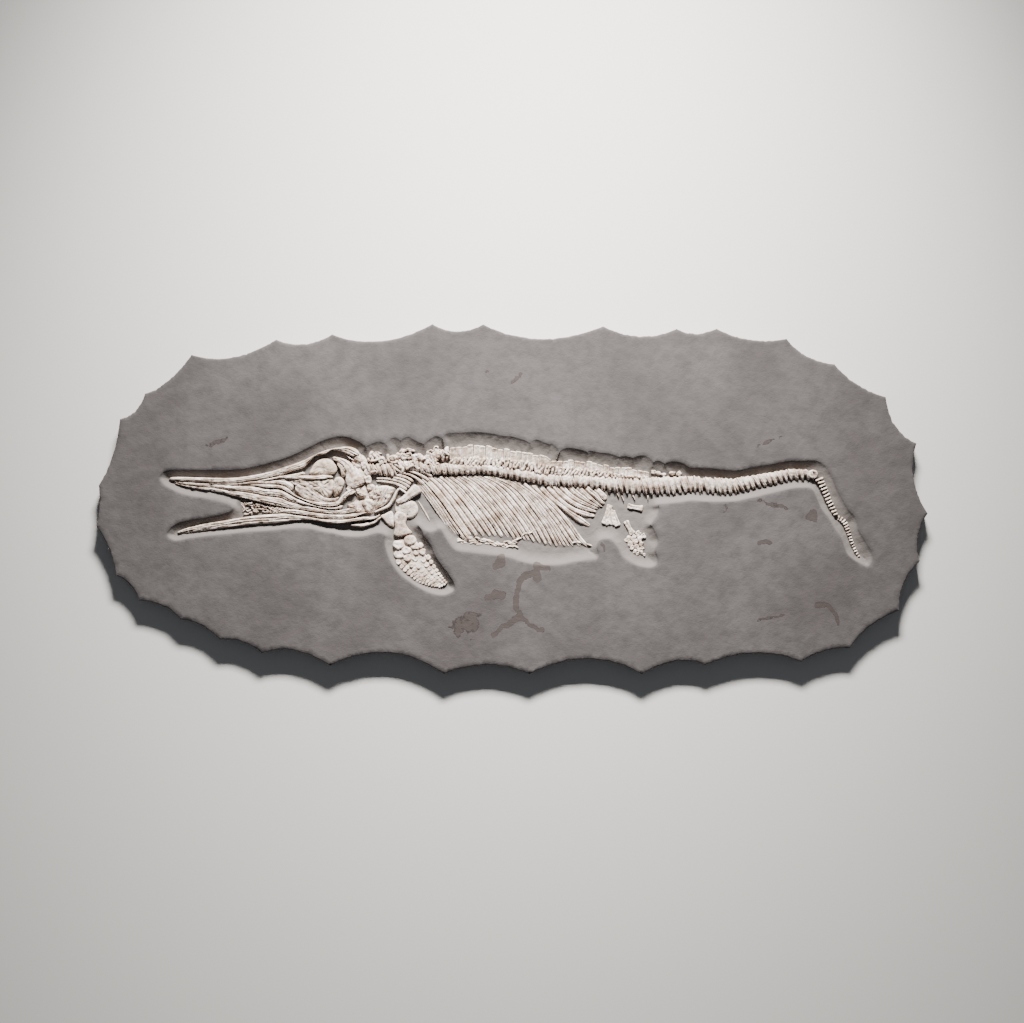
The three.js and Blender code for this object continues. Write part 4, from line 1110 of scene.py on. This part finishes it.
def shoulder(material):
    """Shoulder girdle and upper paddle, each bone a piece of its own."""
    scapula = ([[-293, -4], [-280, 3], [-268, 13], [-257, 25], [-246, 36], [-236, 33]],
               [[-288, -14], [-272, -10], [-256, -1], [-241, 8], [-228, 15], [-226, 24]])
    bone("scapula_bone", [blade(*scapula, 12.5, stations=34, across=21, taper=5, fullness=0.55, wear=0.5,
                                fibre=0.2, relief=along_strands((-0.15,), 1.0, 0.4), seed=501)],
         material, ["scapula"])
    clavicle = [[-346, -33], [-325, -25], [-308, -16], [-297, 0], [-291, 14], [-283, 27]]
    interclavicle = [[-284, 28], [-275, 22], [-263, 13]]
    bone("clavicle_bone", [
        rod(clavicle, [4, 6, 8, 8, 7, 5], 12, stations=30, taper=5, fullness=0.7, seed=502),
        rod(interclavicle, [4, 6, 5], 10.5, stations=12, taper=4, seed=503),
    ], material, ["clavicle"])
    near = [[-293, -12], [-282, -6], [-268, -5], [-252, -3], [-240, -11], [-235, -24], [-238, -38],
            [-248, -48], [-262, -49], [-271, -45], [-280, -40], [-292, -32]]
    bone("coracoid_near_bone", [plate(near, 8, 5, dish=2.0, wear=1.0, seed=504, points=64,
                                      relief=scored([[[-269, -43], [-253, -34]]], 4.0, 3.0))],
         material, ["coracoid_near"])
    far = [[-330, -42], [-318, -36], [-303, -30], [-297, -40], [-296, -56], [-296, -72], [-304, -71],
           [-314, -63], [-323, -52]]
    bone("coracoid_far_bone", [plate(far, 8, 5, tilt=(0.0, 0.05), wear=0.8, seed=505, points=40)],
         material, ["coracoid_far"])
    streaks, folds = striae(62, 7, 1.0), striae(-25, 13, 0.8, 4)
    cuts = scored([[[-340, 28], [-318, 26], [-300, 20]], [[-326, 22], [-334, 0], [-340, -18]],
                   [[-312, 8], [-322, -10]], [[-344, 4], [-334, 8]]], 3.4, 2.4)
    bone("shoulder_plate", [plate(SHOULDER_PLATE, 10.5, 7, wear=1.6, points=96, dish=2.5, seed=506,
                                  relief=lambda x, y: streaks(x, y) + folds(x, y) + cuts(x, y))],
         material, [])
    humerus = ([[-290, -29], [-296, -46], [-294, -62], [-294, -76], [-297, -88], [-294, -97]],
               [[-269, -33], [-264, -48], [-266, -62], [-259, -74], [-250, -84], [-255, -90]])
    bone("humerus_bone", [blade(*humerus, 11.2, stations=30, across=19, taper=7, fullness=0.55,
                                relief=along_strands((0.1,), 0.8, 0.3), wear=0.9, seed=507)],
         material, ["humerus"])
    bone("radius_bone", [plate(oval(-284, -115, 28, 25, 10), 10.5, 6, dish=1.0, tilt=(0.02, -0.12),
                                wear=0.9, seed=508)],
         material, ["radius"])
    bone("ulna_bone", [plate(oval(-256, -104, 33, 29, -15), 11.0, 6, dish=1.0, tilt=(0.02, -0.12),
                              wear=0.9, seed=509)],
         material, ["ulna"])


# The front paddle: wrist discs (x, y, across, high), finger rows and the outline of its web
WRIST = [(-283, -138, 22, 20), (-265, -128, 22, 17), (-243, -118, 19, 16), (-230, -117, 12, 14),
         (-240, -133, 16, 14), (-262, -146, 17, 17), (-243, -149, 15, 14), (-225, -132, 14, 15)]
FORE_DIGITS = [
    [[-289, -152], [-277, -168], [-260, -184], [-242, -198], [-222, -208], [-203, -214]],
    [[-273, -156], [-261, -172], [-245, -187], [-227, -200], [-207, -211], [-189, -219]],
    [[-256, -160], [-246, -174], [-232, -188], [-215, -202], [-197, -213], [-180, -220]],
    [[-240, -162], [-230, -175], [-216, -189], [-201, -202], [-186, -212], [-172, -219]],
    [[-226, -147], [-216, -162], [-204, -178], [-191, -193], [-178, -206], [-166, -217]],
    [[-214, -140], [-206, -154], [-196, -170], [-185, -186], [-174, -200], [-163, -212]],
]
PADDLE_FRONT = [[-295, -104], [-297, -128], [-288, -148], [-276, -163], [-260, -181], [-246, -193],
                [-230, -203], [-211, -211], [-190, -217]]
PADDLE_BACK = [[-246, -102], [-234, -115], [-222, -128], [-214, -144], [-204, -160], [-192, -176],
               [-180, -192], [-170, -206], [-166, -216]]


def fore_fin(material):
    """The paddle beyond the forearm: wrist discs, then six close rows of shrinking finger bones,
    each bone as wide as the room between its row and the next, all on a thin web of bone."""
    shells = [plate(oval(x, y, across * 1.22, high * 1.2, 0, 0.16), 8.0 + 0.8 * (k % 3), 7, dish=1.0,
                    tilt=(0.02, -0.17), wear=1.1, points=32, seed=520 + k)
              for k, (x, y, across, high) in enumerate(WRIST)]
    web = [*PADDLE_FRONT, *PADDLE_BACK[::-1]]
    shells.append(plate(web, 5.7, 9, wear=0.8, points=80, seed=519))
    random = np.random.default_rng(55)
    rows = np.array([even(line, 200) for line in FORE_DIGITS])
    room = np.hypot(*np.diff(rows, axis=0).transpose(2, 0, 1))
    room = np.concatenate([room[:1], (room[1:] + room[:-1]) / 2, room[-1:]])
    for row, curve in enumerate(rows):
        way = np.linspace(0, np.sum(np.hypot(*np.diff(curve, axis=0).T)), 200)
        at = 0.0
        while at < way[-1] - 2:
            share = at / way[-1]
            length = (14.5 - 8.5 * share) * random.uniform(0.85, 1.1)
            x, y, wide = on_curve(at + length / 2, way, np.column_stack([curve, room[row]]))
            ahead = on_curve(at + length, way, curve) - on_curve(at, way, curve)
            angle = np.degrees(np.arctan2(ahead[1], ahead[0]))
            shells.append(plate(oval(x, y, length * 1.03, np.clip(wide, 4, 14) * 1.04, angle, 0.12),
                                (8.4 - 2.6 * share) * random.uniform(0.85, 1.1), 6,
                                tilt=(0.03, -0.14), wear=0.7, points=20,
                                dish=1.0 * (1 - share), seed=int(at) + 40 * row + 560))
            at += length
    bone("fore_fin_bones", shells, material, ["fore_fin_digits"])


def hip(material):
    """Hip rods and the thigh: slim waisted rods, each a piece of its own, with a thin web of bone
    between the first two."""
    rods = {
        "ilium": ([[246, -13], [241, -32], [236, -48], [231, -64]], [15, 13, 14, 17]),
        "ischium": ([[252, -28], [257, -42], [262, -56], [266, -69]], [13, 12, 13, 17]),
        "pubis": ([[289, -17], [302, -20], [315, -22], [329, -24]], [17, 12, 12, 19]),
        "femur": ([[285, -54], [291, -67], [297, -78], [304, -89]], [16, 12, 12, 19]),
    }
    for k, (name, (line, widths)) in enumerate(rods.items()):
        shells = [rod(line, widths, 5.0, stations=22, across=17, taper=4, undercut=0.05, fullness=0.5,
                      wear=1.0, relief=along_strands((0.0,), 1.2, 0.35), seed=600 + k)]
        if name == "ilium":
            between = [[244, -15], [252, -26], [260, -46], [267, -62], [258, -67], [246, -65], [234, -66],
                       [236, -44]]
            shells.append(plate(between, 4.4, 9, wear=1.2, points=64, seed=608,
                                relief=striae(100, 8, 1.0)))
        bone(f"{name}_bone", shells, material, [name])


# Bones of the hind paddle: x, y, across, high
HIND_TOES = [
    (291, -101, 15, 12), (305, -96, 14, 12), (317, -87, 13, 12), (328, -93, 12, 13), (296, -112, 13, 11),
    (309, -107, 13, 11), (321, -101, 12, 11), (301, -122, 11, 10), (313, -118, 11, 10), (324, -112, 10, 10),
    (308, -131, 9, 8), (318, -128, 9, 8), (327, -123, 8, 8), (316, -137, 8, 7), (325, -134, 8, 7),
    (332, -139, 7, 6),
]


def hind_fin(material):
    """The small hind paddle: a heap of round toe bones that shrink towards its tip."""
    shells = [plate(oval(x, y, across * 1.25, high * 1.15, 30 + 25 * (k % 4), 0.3), 2.8 + 0.6 * (k % 4), 8,
                    wear=1.1, tilt=(0.0, 0.08), points=28, seed=620 + k)
              for k, (x, y, across, high) in enumerate(HIND_TOES)]
    bone("hind_fin_bones", shells, material, ["hind_fin_digits"])


# Belly rods: how many, how far they scatter, and the line they lie along
BELLY_LINES = [
    (44, 8.0, [[-134, -99], [-110, -104], [-80, -106], [-50, -109], [-25, -113], [12, -115]]),
    (9, 2.0, [[0, -106], [14, -98], [30, -91], [48, -82], [66, -72]]),
    (3, 3.0, [[112, -68], [124, -65], [136, -58]]),
    (4, 3.0, [[150, -106], [172, -110], [200, -114]]),
]


def belly_rods(material):
    """Fine belly rods lying askew across the lower ends of the ribs, scattered along lines."""
    random = np.random.default_rng(77)
    shells = []
    for count, scatter, course in BELLY_LINES:
        curve = even(course, 100)
        for k in range(count):
            at = min(int((k + random.uniform(0, 1)) / count * 99), 97)
            ahead = curve[at + 2] - curve[at]
            turn = np.arctan2(ahead[1], ahead[0]) + random.uniform(-0.45, 0.45)
            reach = random.uniform(5, 12)
            middle = curve[at] + random.uniform(-1, 1, 2) * [2, scatter]
            line = splinter(middle, turn, reach, random.uniform(-1.5, 1.5, 2))
            shells.append(rod(line, [3.0, 4.8, 2.8], random.uniform(3.0, 5.4), stations=14, across=9,
                              taper=3, undercut=0.0, wear=0.6, seed=640 + k))
    bone("gastralia_rods", shells, material, ["gastralia"])


# Small rods under the tail, and bits of spine over it: x, y, across, high
HAEMAL_RODS = [[[275, 9], [278, 2], [281, -6]], [[303, 9], [306, 4], [309, -3]],
               [[341, 9], [341, 4], [341, -3]], [[263, 14], [267, 8], [268, 3]]]
SPINE_BITS = [(367, 65, 12, 11), (380, 62, 11, 8), (403, 64, 13, 11), (418, 64, 12, 12), (355, 68, 11, 12)]


def loose_bits(material):
    """Small rods under the tail and bits of spine over it."""
    shells = [rod(line, [3, 3, 2], 6, stations=9, across=9, taper=2, seed=660 + k)
              for k, line in enumerate(HAEMAL_RODS)]
    for k, (x, y, across, high) in enumerate(SPINE_BITS):
        shells.append(plate(oval(x, y, across * 1.2, high, 0, 0.3), 6.5, 8, wear=1.4, points=28,
                            seed=670 + k))
    bone("tail_small_bones", shells, material, [])


def srgb(colour):
    """A hex sRGB colour as the linear RGBA that a socket takes."""
    channel = np.array([int(colour[i:i + 2], 16) for i in (1, 3, 5)]) / 255
    linear = np.where(channel <= 0.04045, channel / 12.92, ((channel + 0.055) / 1.055) ** 2.4)
    return (*linear.tolist(), 1.0)


def add(tree, kind, settings=None, inputs=None, links=None):
    """Adds one node with its settings, its sockets' values and its links from other outputs."""
    node = tree.nodes.new(kind)
    for key, value in (settings or {}).items():
        setattr(node, key, value)
    for key, value in (inputs or {}).items():
        node.inputs[key].default_value = value
    for key, output in (links or {}).items():
        tree.links.new(output, node.inputs[key])
    return node


def start_material(name):
    """A new node material, its tree, its shader and the Object coordinates, in metres."""
    material = bpy.data.materials.new(name)
    material.use_nodes = True
    tree = material.node_tree
    shader = tree.nodes["Principled BSDF"]
    place = add(tree, "ShaderNodeTexCoord").outputs["Object"]
    return material, tree, shader, place


# Widths of the materials' patterns, in millimetres. The stone's grain and the bone's pits are
# really under 1 mm wide, and are drawn as coarse as they need to be to show.
CLOUD_WIDTH = 222.2
MOTTLE_WIDTH = 29.41
GRAIN_WIDTH = 3.03
TORN_EDGE_WIDTH = 10.526
PATCH_WIDTH = 23.81
PIT_WIDTH = 4.348
CRACK_CELL_WIDTH = 16.13


def scraped_limestone():
    """Bituminous limestone, split along its bedding and scraped flat: matt, warm grey, cloudy at
    hand size, finely grained, paler and warmer where it was carved. Stains are flat brown patches
    with a torn edge and a thin dark outline. Between crowded bones the stone is painted nearly
    black, as shade."""
    material, tree, shader, place = start_material("scraped_limestone")
    colour_mix = {"data_type": "RGBA"}
    clouds = add(tree, "ShaderNodeTexNoise", None,
                 {"Scale": 1 / (CLOUD_WIDTH * MM), "Detail": 4.0, "Roughness": 0.55}, {"Vector": place})
    mottle = add(tree, "ShaderNodeTexNoise", None,
                 {"Scale": 1 / (MOTTLE_WIDTH * MM), "Detail": 6.0, "Roughness": 0.6}, {"Vector": place})
    grain = add(tree, "ShaderNodeTexNoise", None, {"Scale": 1 / (GRAIN_WIDTH * MM), "Detail": 3.0},
                {"Vector": place})
    cloud_level = add(tree, "ShaderNodeMapRange", None, {"From Min": 0.36, "From Max": 0.64},
                      {"Value": clouds.outputs["Fac"]})
    mottle_level = add(tree, "ShaderNodeMapRange", None,
                       {"From Min": 0.42, "From Max": 0.75, "To Max": 0.55}, {"Value": mottle.outputs["Fac"]})
    base = add(tree, "ShaderNodeMix", colour_mix, {6: srgb("#4b4747"), 7: srgb("#575353")},
               {0: cloud_level.outputs[0]})
    mottled = add(tree, "ShaderNodeMix", colour_mix, {7: srgb("#3d3b3b")},
                  {0: mottle_level.outputs[0], 6: base.outputs[2]})
    carved = add(tree, "ShaderNodeAttribute", {"attribute_name": "carved"})
    prepared = add(tree, "ShaderNodeMix", colour_mix, {7: srgb("#6b6663")},
                   {0: carved.outputs["Fac"], 6: mottled.outputs[2]})
    # Painted shade: where bones crowd round, the stone is mixed towards near black.
    packed = add(tree, "ShaderNodeAttribute", {"attribute_name": "packed"})
    near_bone_shade = add(tree, "ShaderNodeMapRange", None, {"From Min": 0.4, "From Max": 1.0, "To Max": 0.6},
                  {"Value": packed.outputs["Fac"]})
    between = add(tree, "ShaderNodeMix", colour_mix, {7: srgb("#2a2523")},
                  {0: near_bone_shade.outputs[0], 6: prepared.outputs[2]})
    chip = add(tree, "ShaderNodeAttribute", {"attribute_name": "chip"})
    chipped = add(tree, "ShaderNodeMix", colour_mix, {7: srgb("#5f5a58")},
                  {0: chip.outputs["Fac"], 6: between.outputs[2]})
    stain = add(tree, "ShaderNodeAttribute", {"attribute_name": "stain"})
    ragged = add(tree, "ShaderNodeTexNoise", None,
                 {"Scale": 1 / (TORN_EDGE_WIDTH * MM), "Detail": 4.0, "Roughness": 0.6}, {"Vector": place})
    torn = add(tree, "ShaderNodeMath", {"operation": "MULTIPLY_ADD"}, {1: 0.55},
               {0: ragged.outputs["Fac"], 2: stain.outputs["Fac"]})
    stain_level = add(tree, "ShaderNodeMapRange", None,
                      {"From Min": 0.5, "From Max": 0.56, "To Max": 0.8}, {"Value": torn.outputs[0]})
    flat_stain = add(tree, "ShaderNodeMix", colour_mix, {7: srgb("#413a37")},
                     {0: stain_level.outputs[0], 6: chipped.outputs[2]})
    outline = add(tree, "ShaderNodeMath", {"operation": "COMPARE"}, {1: 0.525, 2: 0.03},
                  {0: torn.outputs[0]})
    outline_level = add(tree, "ShaderNodeMath", {"operation": "MULTIPLY"}, {1: 0.7},
                        {0: outline.outputs[0]})
    stained = add(tree, "ShaderNodeMix", colour_mix, {7: srgb("#2b2623")},
                  {0: outline_level.outputs[0], 6: flat_stain.outputs[2]})
    soft_bump = add(tree, "ShaderNodeBump", None, {"Strength": 0.5, "Distance": 4 * MM},
                    {"Height": mottle.outputs["Fac"]})
    fine_bump = add(tree, "ShaderNodeBump", None, {"Strength": 0.35, "Distance": 1.2 * MM},
                    {"Height": grain.outputs["Fac"], "Normal": soft_bump.outputs[0]})
    tree.links.new(stained.outputs[2], shader.inputs["Base Color"])
    tree.links.new(fine_bump.outputs[0], shader.inputs["Normal"])
    shader.inputs["Roughness"].default_value = 0.93
    shader.inputs["Specular IOR Level"].default_value = 0.25
    return material


def fossil_bone(name, pale, tan, deep):
    """Phosphatised bone, cleaned and lightly lacquered: matt, cream on its crowns, tan in patches,
    brown towards the stone and in crevices, as painted shade mixed with grime, finely pitted, and
    crossed by hairline cracks."""
    material, tree, shader, place = start_material(name)
    colour_mix = {"data_type": "RGBA"}
    patches = add(tree, "ShaderNodeTexNoise", None,
                  {"Scale": 1 / (PATCH_WIDTH * MM), "Detail": 5.0, "Roughness": 0.6}, {"Vector": place})
    pits = add(tree, "ShaderNodeTexNoise", None,
               {"Scale": 1 / (PIT_WIDTH * MM), "Detail": 4.0, "Roughness": 0.65}, {"Vector": place})
    bend = add(tree, "ShaderNodeVectorMath", {"operation": "MULTIPLY_ADD"}, {1: (12 * MM, 12 * MM, 0.0)},
               {0: patches.outputs["Color"], 2: place})
    cells = add(tree, "ShaderNodeTexVoronoi", {"feature": "DISTANCE_TO_EDGE"},
                {"Scale": 1 / (CRACK_CELL_WIDTH * MM)}, {"Vector": bend.outputs[0]})
    crack = add(tree, "ShaderNodeMapRange", None,
                {"From Min": 0.0, "From Max": 0.05, "To Min": 1.0, "To Max": 0.0},
                {"Value": cells.outputs["Distance"]})
    patch_level = add(tree, "ShaderNodeMapRange", None, {"From Min": 0.34, "From Max": 0.64},
                      {"Value": patches.outputs["Fac"]})
    skin = add(tree, "ShaderNodeMix", colour_mix, {6: srgb(pale), 7: srgb(tan)},
               {0: patch_level.outputs[0]})
    pit_level = add(tree, "ShaderNodeMapRange", None, {"From Min": 0.56, "From Max": 0.74, "To Max": 0.7},
                    {"Value": pits.outputs["Fac"]})
    # Painted shade mixed with grime, read from the attribute, together with the pits and cracks, mixes the
    # skin towards the deep colour.
    dark = add(tree, "ShaderNodeAttribute", {"attribute_name": "crevice_grime_and_shade"})
    hollow = add(tree, "ShaderNodeMath", {"operation": "MAXIMUM"}, None,
                 {0: dark.outputs["Fac"], 1: pit_level.outputs[0]})
    faint = add(tree, "ShaderNodeMath", {"operation": "MULTIPLY_ADD", "use_clamp": True}, {1: 0.45},
                {0: crack.outputs[0], 2: hollow.outputs[0]})
    grimed_and_shaded = add(tree, "ShaderNodeMix", colour_mix, {7: srgb(deep)},
                 {0: faint.outputs[0], 6: skin.outputs[2]})
    broad = add(tree, "ShaderNodeBump", None, {"Strength": 0.6, "Distance": 3 * MM},
                {"Height": patches.outputs["Fac"]})
    fine = add(tree, "ShaderNodeBump", None, {"Strength": 0.7, "Distance": 1.6 * MM},
               {"Height": pits.outputs["Fac"], "Normal": broad.outputs[0]})
    tree.links.new(grimed_and_shaded.outputs[2], shader.inputs["Base Color"])
    tree.links.new(fine.outputs[0], shader.inputs["Normal"])
    shader.inputs["Roughness"].default_value = 0.72
    shader.inputs["Specular IOR Level"].default_value = 0.35
    return material


def pale_floor():
    """A plain pale studio floor, matt."""
    material, _, shader, _ = start_material("pale_studio_floor")
    shader.inputs["Base Color"].default_value = srgb("#d3d1cd")
    shader.inputs["Roughness"].default_value = 0.9
    mesh = bpy.data.meshes.new("studio_floor")
    reach = 12.0
    corners = [(-reach, -reach, 0), (reach, -reach, 0), (reach, reach, 0), (-reach, reach, 0)]
    mesh.from_pydata(corners, [], [(0, 1, 2, 3)])
    mesh.materials.append(material)
    floor = bpy.data.objects.new("studio_floor", mesh)
    bpy.context.scene.collection.objects.link(floor)


def camera():
    """Looks straight down on the face, with the photograph's framing."""
    data = bpy.data.cameras.new("camera")
    data.lens, data.sensor_width = LENS, SENSOR
    height = PHOTO_WIDTH * MM_PER_PIXEL * LENS / SENSOR + FACE
    below = (PHOTO_MIDDLE[1] - SLAB_MIDDLE[1]) * MM_PER_PIXEL
    view = bpy.data.objects.new("camera", data)
    view.location = (0, -below * MM, height * MM)
    bpy.context.scene.collection.objects.link(view)
    bpy.context.scene.camera = view


def soft_light(name, place, size, watts, spread, colour):
    """A wide soft light at a place, turned to the slab's middle, with the spread of its beam."""
    data = bpy.data.lights.new(name, "AREA")
    data.shape, data.size, data.size_y = "RECTANGLE", size[0], size[1]
    data.energy, data.spread = watts, np.radians(spread)
    data.color = srgb(colour)[:3]
    light = bpy.data.objects.new(name, data)
    light.location = place
    light.rotation_euler = (-Vector(place)).to_track_quat("-Z", "Y").to_euler()
    bpy.context.scene.collection.objects.link(light)


def studio():
    """Plain light: one wide soft key, low beyond the back of the animal, and a weak pale sky."""
    soft_light("key", place=(0.15, 2.85, 1.68), size=(1.0, 0.4), watts=116, spread=70, colour="#fffbf7")
    world = bpy.data.worlds.new("studio_air")
    world.use_nodes = True
    world.node_tree.nodes["Background"].inputs["Color"].default_value = srgb("#e2e8f2")
    world.node_tree.nodes["Background"].inputs["Strength"].default_value = 0.13
    bpy.context.scene.world = world


camera()
studio()
pale_floor()
stone = scraped_limestone()
cream = fossil_bone("cream_fossil_bone", "#ebdfd5", "#a48f7f", "#5a4b41")
# The eye plates' material: a copy of the bone material painted darker, as shade.
eye_shade_bone = fossil_bone("eye_bone_painted_darker", "#d8cabb", "#988574", "#52443a")
ribs(cream)
neck_ribs(cream)
backbone(cream)
spines(cream)
neck(cream)
tail_end(cream)
skull(cream)
lower_jaw(cream)
jaw_fragments(cream)
eye(eye_shade_bone)
shoulder(cream)
fore_fin(cream)
hip(cream)
hind_fin(cream)
belly_rods(cream)
loose_bits(cream)
slab_piece(stone)
